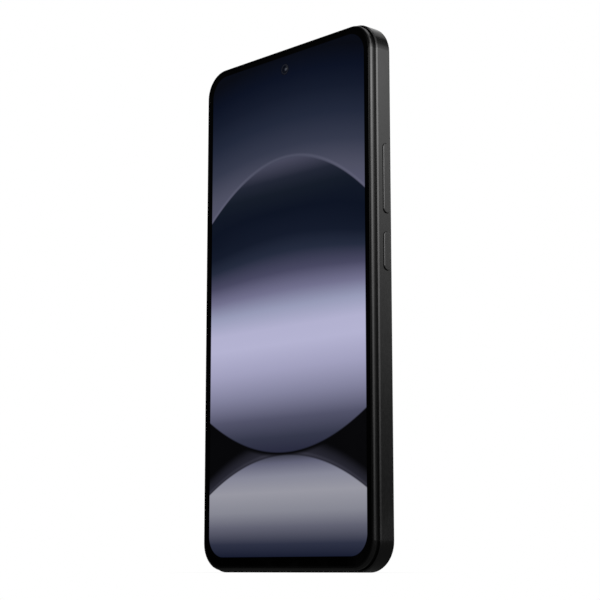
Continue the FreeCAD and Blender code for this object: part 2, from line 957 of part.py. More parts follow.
# ---------------------------------------------------------------- card tray and reader
sim_tray = new_body("sim_tray")
add(
    sim_tray,
    "YZ_Plane",
    left,
    f"{left} + tray_face_depth",
    stadium("tray_face_thickness", "tray_face_length", "tray_offset", "tray_middle"),
)
add(
    sim_tray,
    "YZ_Plane",
    f"{left} + tray_face_depth - 0.2",
    f"{left} + tray_depth",
    (
        "rectangle",
        "tray_offset - tray_thickness/2",
        "tray_middle - tray_width/2",
        "tray_offset + tray_thickness/2",
        "tray_middle + tray_width/2",
    ),
)
cut(
    sim_tray,
    "XZ_Plane",
    "tray_offset - tray_thickness/2 - 0.5",
    "tray_offset + tray_thickness/2 + 0.5",
    *[
        (
            "rounded",
            "card_length",
            "card_width",
            "card_corner",
            f"{left} + card_start + card_length/2 + {i}*card_spacing",
            "tray_middle",
        )
        for i in range(2)
    ],
)
cut(
    sim_tray,
    "YZ_Plane",
    f"{left} - 0.5",
    f"{left} + tray_face_depth + 0.1",
    ("circle", "eject_hole_radius", "tray_offset", "tray_middle + tray_face_length/2 - 0.75"),
)
reader_shell = block(
    "reader_shell",
    f"{left} + 2",
    f"{left} + tray_depth + 1",
    board_back,
    f"{board_back} + reader_height",
    "tray_middle - tray_width/2 - reader_margin",
    "tray_middle + tray_width/2 + reader_margin",
)
reader_space = block(
    "reader_space",
    f"{left} + 1",
    f"{left} + tray_depth + 0.4",
    f"{board_back} + reader_wall",
    f"{board_back} + reader_height - reader_wall",
    "tray_middle - tray_width/2 - tray_slide_gap",
    "tray_middle + tray_width/2 + tray_slide_gap",
)
hollowed("sim_reader", reader_shell, reader_space)

# ---------------------------------------------------------------- charging port
port_top = "(port_recess + port_depth)"
usb_shell = new_body("usb_shell")
add(
    usb_shell,
    "XY_Plane",
    "port_recess",
    port_top,
    flat_stadium("port_thickness", "port_width", "0", "port_offset"),
)
cut(
    usb_shell,
    "XY_Plane",
    "port_recess - 0.5",
    f"{port_top} - port_wall",
    flat_stadium("port_thickness - 2*port_wall", "port_width - 2*port_wall", "0", "port_offset"),
)
usb_tongue = new_body("usb_tongue")
add(
    usb_tongue,
    "XY_Plane",
    "port_recess + tongue_start",
    f"{port_top} - port_wall",
    ("rounded", "tongue_width", "tongue_thickness", "0.2", "0", "port_offset"),
)
contacts = []
for side, face in (
    ("low", "port_offset - tongue_thickness/2 - contact_depth"),
    ("high", "port_offset + tongue_thickness/2"),
):
    for i in range(12):
        x = f"contact_pitch*({i - 5.5}) - contact_width/2"
        contacts.append(
            block(
                f"contact_{side}_{i}",
                x,
                f"{x} + contact_width",
                face,
                f"{face} + contact_depth",
                "port_recess + contact_start",
                "port_recess + contact_start + contact_length",
            )
        )
joined("usb_contacts", contacts)
usb_gasket = new_body("usb_gasket")
add(
    usb_gasket,
    "XY_Plane",
    "band_wall",
    "band_wall + gasket_depth",
    flat_stadium("port_thickness + gasket_wall/2", "port_width + 2*gasket_wall", "0", "port_offset"),
    flat_stadium("port_thickness + 2*gasket_gap", "port_width + 2*gasket_gap", "0", "port_offset"),
)

# ---------------------------------------------------------------- sound
kept(
    block(
        "speaker_mesh",
        "speaker_middle - speaker_mesh_length/2",
        "speaker_middle + speaker_mesh_length/2",
        "port_offset - mesh_width/2",
        "port_offset + mesh_width/2",
        "band_wall",
        "band_wall + mesh_thickness",
    ),
)
speaker_left = "sub_board_right + 1.5"
speaker_outline = [
    (speaker_left, "band_wall + 0.2"),
    (f"{right} - 10.85", "band_wall + 0.2"),
    (f"{right} - 3.35", "corner_radius + 0.5"),
    (f"{right} - 3.35", "speaker_top"),
    (speaker_left, "speaker_top"),
]
plate("loudspeaker", plate_back, f"{shroud_front} - speaker_gap", ("polygon", speaker_outline))
kept(
    block(
        "earpiece_mesh",
        "earpiece_middle - earpiece_mesh_length/2",
        "earpiece_middle + earpiece_mesh_length/2",
        "port_offset - mesh_width/2",
        "port_offset + mesh_width/2",
        f"{top} - band_wall - mesh_thickness",
        f"{top} - band_wall",
    ),
)
kept(
    block(
        "earpiece",
        "earpiece_middle - earpiece_length/2",
        "earpiece_middle + earpiece_length/2",
        plate_back,
        f"{plate_back} + earpiece_depth",
        f"{top} - band_wall - earpiece_height - 0.2",
        f"{top} - band_wall - 0.2",
    ),
)
kept(
    block(
        "vibration_motor",
        "sub_board_right + motor_left_gap",
        "sub_board_right + motor_left_gap + motor_length",
        plate_back,
        f"{plate_back} + motor_depth",
        "motor_bottom",
        "motor_bottom + motor_height",
    ),
)
for name, x, z in (
    ("bottom_microphone", "bottom_microphone_x", "sub_board_bottom"),
    ("top_microphone", "top_microphone_x", "main_board_top - microphone_side"),
):
    kept(
        block(
            name,
            f"{x} - microphone_width/2",
            f"{x} + microphone_width/2",
            board_back,
            f"{board_back} + microphone_depth",
            z,
            f"{z} + microphone_side",
        ),
    )

# ---------------------------------------------------------------- boards and what sits on them


def main_outline(shy):
    """The main board's L shape with one corner cut off, drawn smaller all round."""
    return [
        (f"-board_side + {shy}", f"main_board_bottom + {shy}"),
        (f"main_board_right - {shy}", f"main_board_bottom + {shy}"),
        (f"main_board_right - {shy}", f"main_board_strip - {shy}"),
        (f"-main_board_inner - {shy}", f"main_board_strip - {shy}"),
        (f"-main_board_inner - {shy}", f"main_board_top - {shy}"),
        (f"-board_side + board_corner + {shy}", f"main_board_top - {shy}"),
        (f"-board_side + {shy}", f"main_board_top - board_corner - {shy}"),
    ]


main_board = plate(
    "main_board",
    board_front,
    board_back,
    ("polygon", main_outline("0")),
    *boss_circles("boss_radius + boss_gap", UPPER_BOSSES),
)
sub_outline = [
    ("-board_side + 0.4", "sub_board_bottom + board_corner + 1.8"),
    ("-board_side + board_corner + 1.4", "sub_board_bottom"),
    ("-port_width/2 - 0.35", "sub_board_bottom"),
    ("-port_width/2 - 0.35", f"{port_top} + 0.4"),
    ("port_width/2 + 0.35", f"{port_top} + 0.4"),
    ("port_width/2 + 0.35", "sub_board_bottom"),
    ("sub_board_right", "sub_board_bottom"),
    ("sub_board_right", "sub_board_top"),
    ("-board_side + 0.4", "sub_board_top"),
]
sub_board = plate(
    "sub_board",
    board_front,
    board_back,
    ("polygon", sub_outline),
    *boss_circles("boss_radius + boss_gap", LOWER_BOSSES[:4]),
)
can_front = f"{plate_back} + can_gap"
can_bottom = "main_board_bottom + 5.5"
can_top = "main_board_top - 9"
lid_bottom = "main_board_top - 19"
lid_top = "main_board_top - 8.5"
lid_back = f"{board_back} + back_shield_height"
hollowed(
    "front_shield",
    block("front_can", "can_left", "can_right", can_front, board_front, can_bottom, can_top),
    block(
        "front_can_space",
        "can_left + shield_wall",
        "can_right - shield_wall",
        f"{can_front} + shield_wall",
        f"{board_front} + 1",
        f"{can_bottom} + shield_wall",
        f"{can_top} - shield_wall",
    ),
)
kept(
    block(
        "processor",
        "processor_left",
        "processor_left + processor_side",
        f"{board_front} - chip_thickness",
        board_front,
        f"{can_bottom} + 6",
        f"{can_bottom} + 6 + processor_side",
    ),
)
hollowed(
    "back_shield",
    block("back_can", "can_left", "can_right", board_back, lid_back, lid_bottom, lid_top),
    block(
        "back_can_space",
        "can_left + shield_wall",
        "can_right - shield_wall",
        f"{board_back} - 1",
        f"{lid_back} - shield_wall",
        f"{lid_bottom} + shield_wall",
        f"{lid_top} - shield_wall",
    ),
)
kept(
    block(
        "memory_chip",
        "memory_left",
        "memory_left + memory_width",
        board_back,
        f"{board_back} + chip_thickness",
        f"{lid_bottom} + 1.5",
        f"{lid_bottom} + 1.5 + memory_height",
    ),
)


def screw_holes(shroud, bosses):
    cut(
        shroud,
        "XZ_Plane",
        f"{shroud_front} - 0.5",
        f"{shroud_back} + 0.5",
        *boss_circles("screw_radius + screw_clearance", bosses),
    )
    cut(
        shroud,
        "XZ_Plane",
        f"{shroud_back} - screw_sink",
        f"{shroud_back} + 0.5",
        *boss_circles("screw_head_radius + 0.1", bosses),
    )


upper_shroud = plate("upper_shroud", shroud_front, shroud_back, ("polygon", main_outline("0.3")))
screw_holes(upper_shroud, UPPER_BOSSES)
lower_outline = [
    ("-board_side + 0.7", "sub_board_bottom + board_corner + 2.1"),
    ("-board_side + board_corner + 1.7", "sub_board_bottom + 0.3"),
    (f"{right} - 10.85", "sub_board_bottom + 0.3"),
    (f"{right} - 3.55", "corner_radius + 0.8"),
    (f"{right} - 3.55", "sub_board_top - 0.3"),
    ("-board_side + 0.7", "sub_board_top - 0.3"),
]
lower_shroud = plate("lower_shroud", shroud_front, shroud_back, ("polygon", lower_outline))
screw_holes(lower_shroud, LOWER_BOSSES)
screws = []
for number, (x, z) in enumerate(UPPER_BOSSES + LOWER_BOSSES):
    screws.append(
        rod(
            f"shank_{number}",
            "y",
            "screw_radius",
            x,
            f"{plate_back} + screw_depth",
            z,
            f"{shroud_back} - 0.2 - ({plate_back} + screw_depth)",
        ),
    )
    screws.append(
        rod(
            f"head_{number}",
            "y",
            "screw_head_radius",
            x,
            f"{shroud_back} - screw_sink",
            z,
            "screw_head_height",
        ),
    )
joined("shroud_screws", screws)
plate(
    "nfc_coil",
    shroud_back,
    f"{shroud_back} + 0.1",
    ("rounded", "coil_width", "coil_height", "2", "coil_x", "main_board_top - coil_drop"),
    (
        "rounded",
        "coil_width - 2*coil_band",
        "coil_height - 2*coil_band",
        "1.5",
        "coil_x",
        "main_board_top - coil_drop",
    ),
)

# ---------------------------------------------------------------- battery and cables
sheet_back = f"({plate_back} + sheet_thickness)"
tape_back = f"({sheet_back} + sheet_thickness)"
battery_back = f"({tape_back} + battery_thickness)"
battery_middle = "(battery_left + battery_right)/2"
battery_width = "(battery_right - battery_left)"
kept(
    block(
        "graphite_sheet",
        "battery_left + 0.5",
        "battery_right - 0.5",
        plate_back,
        sheet_back,
        "battery_bottom + 1",
        "battery_top - 1",
    )
)


def tape(side):
    """One of the two pull strips under the battery, a quarter of its width off its middle."""
    inner = f"{battery_middle} + {side}*{battery_width}/4 - tape_width/2"
    return block(
        "tape_left" if side < 0 else "tape_right",
        inner,
        f"{inner} + tape_width",
        sheet_back,
        tape_back,
        "battery_bottom + 4",
        "battery_top - 4",
    )


joined("battery_tapes", [tape(-1), tape(1)])
battery_cell = plate(
    "battery_cell",
    tape_back,
    battery_back,
    (
        "rounded",
        battery_width,
        "battery_top - battery_bottom",
        "1.5",
        battery_middle,
        "(battery_top + battery_bottom)/2",
    ),
)
dress(battery_cell, "Fillet", "Radius", "battery_edge", edges_on("y", battery_back))
kept(
    block(
        "battery_flex",
        "-26",
        "-12",
        board_back,
        f"{board_back} + flex_thickness",
        "battery_top",
        "main_board_bottom + 3.5",
    )
)

main_flex = new_body("main_flex")
run_front = f"({battery_back} + 0.02)"
run_back = f"({run_front} + flex_thickness)"
low_turn = "(battery_bottom - 0.9)"
high_turn = "(battery_top + 0.9)"
flex_on_board = f"({board_back} + flex_thickness)"
main_path = [
    (board_back, "sub_board_top - 3.5"),
    (board_back, f"{low_turn} + flex_thickness"),
    (run_front, f"{low_turn} + flex_thickness"),
    (run_front, f"{high_turn} - flex_thickness"),
    (board_back, f"{high_turn} - flex_thickness"),
    (board_back, "main_board_bottom + 4"),
    (flex_on_board, "main_board_bottom + 4"),
    (flex_on_board, high_turn),
    (run_back, high_turn),
    (run_back, low_turn),
    (flex_on_board, low_turn),
    (flex_on_board, "sub_board_top - 3.5"),
]
add(main_flex, "YZ_Plane", "-4", "4.6", ("polygon", main_path))
coax_x = f"{right} - 7.55"
joined(
    "coax_cable",
    [
        rod(
            "coax_core",
            "z",
            "0.5",
            coax_x,
            f"{plate_back} + 0.5",
            "20.4",
            "main_board_bottom + 2 - 20.4",
        ),
        rod(
            "coax_plug",
            "y",
            "0.9",
            coax_x,
            f"{plate_back} + 0.2",
            "main_board_bottom + 2",
            f"{board_front} - {plate_back} - 0.2",
        ),
    ],
)

# ---------------------------------------------------------------- checks and export
document.removeObject(ruler.Name)
document.recompute()
for thing in document.Objects:
    if "Invalid" in thing.State or "Error" in thing.State:
        raise ValueError(f"{thing.Name} did not build: {thing.State}")
os.makedirs("parts", exist_ok=True)
for name, body in BODIES.items():
    if body.Shape.isNull() or not body.Shape.isValid() or not body.Shape.Solids:
        raise ValueError(f"{name} is not a valid solid")
    body.Shape.exportStep(f"parts/{name}.step")
print(len(BODIES), "pieces")
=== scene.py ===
"""Studio scene of a slab phone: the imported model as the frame, with finishes and finer pieces on it."""

import math

import bmesh
import bpy
from mathutils import Matrix, Vector


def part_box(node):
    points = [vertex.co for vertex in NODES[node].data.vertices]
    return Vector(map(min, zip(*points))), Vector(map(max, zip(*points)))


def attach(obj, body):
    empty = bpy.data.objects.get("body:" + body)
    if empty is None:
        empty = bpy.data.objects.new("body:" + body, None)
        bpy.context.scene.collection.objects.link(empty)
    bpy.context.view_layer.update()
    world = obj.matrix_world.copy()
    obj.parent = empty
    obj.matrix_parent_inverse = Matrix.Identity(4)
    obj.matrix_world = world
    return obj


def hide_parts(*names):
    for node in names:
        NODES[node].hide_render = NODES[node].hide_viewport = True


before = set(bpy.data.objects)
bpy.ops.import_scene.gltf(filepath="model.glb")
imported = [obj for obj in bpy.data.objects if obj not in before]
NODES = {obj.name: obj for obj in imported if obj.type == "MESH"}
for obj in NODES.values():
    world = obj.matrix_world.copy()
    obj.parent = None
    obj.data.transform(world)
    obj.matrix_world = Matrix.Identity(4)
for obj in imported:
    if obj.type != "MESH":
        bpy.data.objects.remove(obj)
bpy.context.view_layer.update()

MM = 0.001


# ---------------------------------------------------------------- helpers for node trees


def plug(tree, value, socket):
    """Joins a socket to another, or sets a plain value on it."""
    if isinstance(value, bpy.types.NodeSocket):
        tree.links.new(value, socket)
    else:
        socket.default_value = value


def put(tree, kind, inputs=None, **settings):
    """A new node with its settings and inputs."""
    made = tree.nodes.new(kind)
    for name, value in settings.items():
        setattr(made, name, value)
    for socket, value in (inputs or {}).items():
        plug(tree, value, made.inputs[socket])
    return made


def sum_of(tree, operation, first, second=0.0, third=0.0, clamp=False):
    """The output of one Math node."""
    made = put(tree, "ShaderNodeMath", {0: first, 1: second, 2: third}, operation=operation)
    made.use_clamp = clamp
    return made.outputs[0]


def spread(tree, value, low, high, to_low=0.0, to_high=1.0, smooth=False):
    """Moves a value from one range to another, held at both ends."""
    kind = "SMOOTHSTEP" if smooth else "LINEAR"
    sockets = {"Value": value, "From Min": low, "From Max": high, "To Min": to_low, "To Max": to_high}
    return put(tree, "ShaderNodeMapRange", sockets, interpolation_type=kind).outputs["Result"]


def blend_colours(tree, share, first, second):
    """A colour between two others."""
    made = put(tree, "ShaderNodeMix", data_type="RGBA")
    plug(tree, share, made.inputs[0])
    plug(tree, first, made.inputs[6])
    plug(tree, second, made.inputs[7])
    return made.outputs[2]


def ink(red, green, blue):
    """A screen colour, 0 to 255 a channel, as the linear colour that shaders use."""
    linear = []
    for channel in (red, green, blue):
        share = channel / 255
        linear.append(share / 12.92 if share <= 0.04045 else ((share + 0.055) / 1.055) ** 2.4)
    return (*linear, 1.0)


def grey(level):
    """A neutral linear colour."""
    return (level, level, level, 1.0)


def group_tree(name, inputs, outputs):
    """A shader group with its named inputs (label, kind, default) and outputs (label, kind)."""
    tree = bpy.data.node_groups.new(name, "ShaderNodeTree")
    for label, kind, default in inputs:
        socket = tree.interface.new_socket(label, in_out="INPUT", socket_type=kind)
        socket.default_value = default
    for label, kind in outputs:
        tree.interface.new_socket(label, in_out="OUTPUT", socket_type=kind)
    start = tree.nodes.new("NodeGroupInput")
    end = tree.nodes.new("NodeGroupOutput")
    return tree, start.outputs, end.inputs


def use(tree, group, inputs=None):
    """The outputs of a shader group used in a material."""
    made = tree.nodes.new("ShaderNodeGroup")
    made.node_tree = group
    for socket, value in (inputs or {}).items():
        plug(tree, value, made.inputs[socket])
    return made.outputs


NUMBER = "NodeSocketFloat"
POINT = "NodeSocketVector"
COLOUR = "NodeSocketColor"


# ---------------------------------------------------------------- shared surface effects


def make_edge_wear():
    """Where an edge is rubbed: 1 on the corner, 0 away from it, broken up by a fine noise."""
    inputs = [("Point", POINT, (0, 0, 0)), ("Width", NUMBER, 0.0003), ("Amount", NUMBER, 1.0)]
    tree, given, wanted = group_tree("edge_wear", inputs, [("Mask", NUMBER)])
    rounded = put(tree, "ShaderNodeBevel", {"Radius": given["Width"]}, samples=4)
    face = tree.nodes.new("ShaderNodeNewGeometry")
    likeness = put(tree, "ShaderNodeVectorMath", operation="DOT_PRODUCT")
    plug(tree, rounded.outputs["Normal"], likeness.inputs[0])
    plug(tree, face.outputs["Normal"], likeness.inputs[1])
    corner = spread(tree, likeness.outputs["Value"], 0.995, 0.85)
    noise = put(tree, "ShaderNodeTexNoise", {"Vector": given["Point"], "Scale": 900.0, "Detail": 4.0})
    patches = spread(tree, noise.outputs["Fac"], 0.35, 0.65, 0.45, 1.0)
    worn = sum_of(tree, "MULTIPLY", corner, patches)
    plug(tree, sum_of(tree, "MULTIPLY", worn, given["Amount"], clamp=True), wanted["Mask"])
    return tree


def make_fine_grain():
    """Blasted or moulded grain: a height for bumps and a tone for colour and roughness."""
    inputs = [("Point", POINT, (0, 0, 0)), ("Scale", NUMBER, 9000.0)]
    tree, given, wanted = group_tree("fine_grain", inputs, [("Height", NUMBER), ("Tone", NUMBER)])
    sockets = {"Vector": given["Point"], "Scale": given["Scale"], "Detail": 3.0, "Roughness": 0.6}
    noise = put(tree, "ShaderNodeTexNoise", sockets)
    coarse = sum_of(tree, "MULTIPLY", given["Scale"], 0.12)
    clouds = put(tree, "ShaderNodeTexNoise", {"Vector": given["Point"], "Scale": coarse, "Detail": 2.0})
    plug(tree, noise.outputs["Fac"], wanted["Height"])
    fine_half = sum_of(tree, "MULTIPLY", noise.outputs["Fac"], 0.5)
    mixed = sum_of(tree, "MULTIPLY_ADD", clouds.outputs["Fac"], 0.5, fine_half)
    plug(tree, spread(tree, mixed, 0.3, 0.7), wanted["Tone"])
    return tree


def make_handling():
    """Soft patches left by hands and wiping, from 0 clean to 1 smeared."""
    inputs = [("Point", POINT, (0, 0, 0)), ("Scale", NUMBER, 60.0)]
    tree, given, wanted = group_tree("handling", inputs, [("Smear", NUMBER), ("Dust", NUMBER)])
    stretched = put(tree, "ShaderNodeMapping", {"Vector": given["Point"]})
    stretched.inputs["Rotation"].default_value = (0.2, 0.5, 0.3)
    stretched.inputs["Scale"].default_value = (1.0, 1.0, 0.45)
    sockets = {"Vector": stretched.outputs["Vector"], "Scale": given["Scale"], "Detail": 5.0}
    smears = put(tree, "ShaderNodeTexNoise", {**sockets, "Distortion": 0.8})
    plug(tree, spread(tree, smears.outputs["Fac"], 0.45, 0.75, smooth=True), wanted["Smear"])
    specks = put(tree, "ShaderNodeTexVoronoi", {"Vector": given["Point"], "Scale": 420.0})
    plug(tree, spread(tree, specks.outputs["Distance"], 0.09, 0.03), wanted["Dust"])
    return tree


def make_brushing():
    """Fine lines along one direction, made by squeezing a noise the other ways."""
    inputs = [("Point", POINT, (0, 0, 0)), ("Stretch", POINT, (40.0, 9000.0, 9000.0))]
    tree, given, wanted = group_tree("brushing", inputs, [("Height", NUMBER), ("Tone", NUMBER)])
    squeezed = put(tree, "ShaderNodeVectorMath", operation="MULTIPLY")
    plug(tree, given["Point"], squeezed.inputs[0])
    plug(tree, given["Stretch"], squeezed.inputs[1])
    lines = put(tree, "ShaderNodeTexNoise", {"Vector": squeezed.outputs[0], "Scale": 1.0, "Detail": 3.0})
    plug(tree, lines.outputs["Fac"], wanted["Height"])
    plug(tree, spread(tree, lines.outputs["Fac"], 0.35, 0.65), wanted["Tone"])
    return tree


def make_turned_lines():
    """Circles round an axis along Y through Centre, as a lathe or a stepped lens leaves them."""
    inputs = [("Point", POINT, (0, 0, 0)), ("Centre", POINT, (0, 0, 0)), ("Pitch", NUMBER, 0.0004)]
    outputs = [("Height", NUMBER), ("Distance", NUMBER)]
    tree, given, wanted = group_tree("turned_lines", inputs, outputs)
    moved = put(tree, "ShaderNodeVectorMath", operation="SUBTRACT")
    plug(tree, given["Point"], moved.inputs[0])
    plug(tree, given["Centre"], moved.inputs[1])
    flat = put(tree, "ShaderNodeVectorMath", operation="MULTIPLY")
    plug(tree, moved.outputs[0], flat.inputs[0])
    flat.inputs[1].default_value = (1, 0, 1)
    length = put(tree, "ShaderNodeVectorMath", {0: flat.outputs[0]}, operation="LENGTH").outputs["Value"]
    turns = sum_of(tree, "DIVIDE", length, given["Pitch"])
    plug(tree, sum_of(tree, "FRACT", turns), wanted["Height"])
    plug(tree, length, wanted["Distance"])
    return tree


def make_copper_lines():
    """Runs of copper under a coloured skin, with round pads here and there."""
    inputs = [("Point", POINT, (0, 0, 0)), ("Pitch", NUMBER, 0.0006)]
    tree, given, wanted = group_tree("copper_lines", inputs, [("Line", NUMBER), ("Pad", NUMBER)])
    density = sum_of(tree, "DIVIDE", 1.0, given["Pitch"])
    turned = put(tree, "ShaderNodeMapping", {"Vector": given["Point"]})
    turned.inputs["Rotation"].default_value = (math.radians(90), 0, 0)
    sockets = {"Vector": turned.outputs["Vector"], "Scale": density, "Mortar Size": 0.09}
    runs = put(tree, "ShaderNodeTexBrick", {**sockets, "Mortar Smooth": 0.1}, offset_frequency=3)
    runs.inputs["Brick Width"].default_value = 7.0
    runs.inputs["Row Height"].default_value = 1.0
    plug(tree, runs.outputs["Fac"], wanted["Line"])
    far = sum_of(tree, "MULTIPLY", density, 0.35)
    dots = put(tree, "ShaderNodeTexVoronoi", {"Vector": given["Point"], "Scale": far})
    plug(tree, spread(tree, dots.outputs["Distance"], 0.2, 0.17), wanted["Pad"])
    return tree


EDGE_WEAR = make_edge_wear()
FINE_GRAIN = make_fine_grain()
HANDLING = make_handling()
BRUSHING = make_brushing()
TURNED_LINES = make_turned_lines()
COPPER_LINES = make_copper_lines()


# ---------------------------------------------------------------- picture on the screen

# the lit area, in mm
SCREEN_HALF_WIDTH = 34.4
SCREEN_LOW = 4.6
SCREEN_HIGH = 159.4
SCREEN_CORNER = 6.5

# the picture's curved edges: height in mm at the middle of the screen, and bend in 1/mm
LARGE_DISC_TOP = (126.2, -0.0128)
LARGE_DISC_FOOT = (35.6, 0.00926)
SMALL_DISC_TOP = (34.7, -0.0092)
# the sky's colours bend up towards the sides, and start a little lower in the middle
SKY_BEND = 0.0035
SKY_DROP = 1.6
# between these heights the large disc's colours take up more and more of its top edge's bend
DISC_BEND_FROM = 70.0
DISC_BEND_FADES = (103.0, 112.0)
DISC_EDGE_BLUR = 0.25
RIM_COLOUR = (150, 150, 175)
SHADOW = (6, 6, 8)
SMALL_DISC_GLOW = (37, 37, 47)

# the front camera behind the glass, in mm
CAMERA_HOLE_HEIGHT = 155.2
CAMERA_HOLE_RADIUS = 1.85
CAMERA_RING_RADIUS = 1.45
# where the painted glint sits, from the hole's middle, in mm
PAINTED_GLINT_PLACE = (0.4, -0.1, 0.0)
LENS_RADIUS = 1.1
LENS_RISE = 0.6
# the front camera's colours, given off as light in the lit area: a faint dark glow over the hole, a painted
# glint standing in for a reflection on the lens, and a lighter ring that glows too
CAMERA_DARK = (6, 9, 20)
PAINTED_CAMERA_GLINT = (70, 73, 82)
CAMERA_RING = (22, 25, 36)
# how far a cut edge in the picture is softened each way
CUT_BLUR = 0.08

# heights in mm up the screen, each with its colour
SKY = (
    (110, (92, 92, 116)),
    (120.5, (77, 79, 98)),
    (128.5, (52, 57, 76)),
    (137, (33, 40, 59)),
    (145, (19, 26, 44)),
    (151.5, (9, 16, 34)),
    (158, (6, 9, 19)),
)
LARGE_DISC = (
    (36.4, (42, 44, 64)),
    (40.3, (53, 56, 75)),
    (46, (82, 83, 106)),
    (53.6, (132, 132, 160)),
    (60.9, (162, 161, 192)),
    (68.7, (181, 180, 211)),
    (73.7, (179, 178, 209)),
    (79.7, (152, 156, 185)),
    (85.1, (114, 113, 143)),
    (90.9, (72, 72, 98)),
    (97.1, (36, 43, 62)),
    (102.5, (19, 26, 43)),
    (110, (12, 19, 35)),
    (116, (20, 27, 40)),
    (120.3, (33, 38, 53)),
    (126.5, (74, 75, 95)),
)
SMALL_DISC = (
    (3.8, (16, 22, 42)),
    (8.4, (45, 49, 68)),
    (13.5, (97, 98, 114)),
    (18, (134, 135, 147)),
    (23.8, (152, 152, 163)),
    (28.6, (135, 136, 152)),
    (32.5, (98, 99, 120)),
    (34.9, (52, 54, 66)),
)


def height_colours(tree, height, stops):
    """A colour ramp over heights in mm."""
    low, high = stops[0][0], stops[-1][0]
    made = put(tree, "ShaderNodeValToRGB", {"Fac": spread(tree, height, low, high)})
    ramp = made.color_ramp
    for step in range(len(stops) - 2):
        ramp.elements.new((step + 1) / len(stops))
    for element, (place, colour) in zip(ramp.elements, stops):
        element.position = (place - low) / (high - low)
        element.color = ink(*colour)
    return made.outputs["Color"]


def past_edge(tree, height, square, edge):
    """How far a point lies above a curved edge of the picture. Square is its distance across, squared."""
    middle, bend = edge
    return sum_of(tree, "SUBTRACT", height, sum_of(tree, "MULTIPLY_ADD", square, bend, middle))


def rim_line(tree, distance, middle, half_width, strength):
    """A faint line along a curved edge, strongest at its middle."""
    away = sum_of(tree, "ABSOLUTE", sum_of(tree, "SUBTRACT", distance, middle))
    return sum_of(tree, "MULTIPLY", spread(tree, away, half_width, 0.0), strength)


def paint_wallpaper(tree, height, across):
    """Two soft discs over a night gradient."""
    square = sum_of(tree, "MULTIPLY", across, across)
    above = past_edge(tree, height, square, LARGE_DISC_TOP)
    inside = past_edge(tree, height, square, LARGE_DISC_FOOT)
    over_small = past_edge(tree, height, square, SMALL_DISC_TOP)

    clear = spread(tree, inside, -0.3, -1.8, smooth=True)
    glow = sum_of(tree, "MULTIPLY", spread(tree, over_small, 1.0, 6.0, 1.0, 0.0, smooth=True), clear)
    gap = blend_colours(tree, glow, ink(*SHADOW), ink(*SMALL_DISC_GLOW))
    small = height_colours(tree, height, SMALL_DISC)
    low_part = blend_colours(tree, spread(tree, over_small, -DISC_EDGE_BLUR, DISC_EDGE_BLUR), small, gap)

    climb = spread(tree, height, DISC_BEND_FROM, LARGE_DISC_TOP[0])
    bend = sum_of(tree, "MULTIPLY", sum_of(tree, "MULTIPLY", climb, climb), -LARGE_DISC_TOP[1])
    bend = sum_of(tree, "MULTIPLY", bend, spread(tree, height, *DISC_BEND_FADES, 1.0, 0.0))
    disc = height_colours(tree, sum_of(tree, "MULTIPLY_ADD", square, bend, height), LARGE_DISC)
    with_disc = blend_colours(tree, spread(tree, inside, -DISC_EDGE_BLUR, DISC_EDGE_BLUR), low_part, disc)

    sky_height = sum_of(tree, "MULTIPLY_ADD", square, SKY_BEND, sum_of(tree, "SUBTRACT", height, SKY_DROP))
    sky = height_colours(tree, sky_height, SKY)
    picture = blend_colours(tree, spread(tree, above, -0.2, 0.3), with_disc, sky)

    rim = rim_line(tree, above, 0.7, 0.7, 0.11)
    picture = blend_colours(tree, rim, picture, ink(*RIM_COLOUR))
    low_rim = sum_of(tree, "MULTIPLY", rim_line(tree, over_small, 0.8, 0.7, 0.05), clear)
    return blend_colours(tree, low_rim, picture, ink(*RIM_COLOUR))


def lit_area(tree, height, across):
    """1 on the lit area with its rounded corners, 0 on the black border."""
    middle = (SCREEN_LOW + SCREEN_HIGH) / 2
    half_height = (SCREEN_HIGH - SCREEN_LOW) / 2
    side = sum_of(tree, "SUBTRACT", sum_of(tree, "ABSOLUTE", across), SCREEN_HALF_WIDTH - SCREEN_CORNER)
    rise = sum_of(tree, "ABSOLUTE", sum_of(tree, "SUBTRACT", height, middle))
    rise = sum_of(tree, "SUBTRACT", rise, half_height - SCREEN_CORNER)
    side_out = sum_of(tree, "MAXIMUM", side, 0.0)
    rise_out = sum_of(tree, "MAXIMUM", rise, 0.0)
    outside = put(tree, "ShaderNodeCombineXYZ", {0: side_out, 1: rise_out})
    corner = put(tree, "ShaderNodeVectorMath", {0: outside.outputs[0]}, operation="LENGTH")
    return spread(tree, corner.outputs["Value"], SCREEN_CORNER + CUT_BLUR, SCREEN_CORNER - CUT_BLUR)


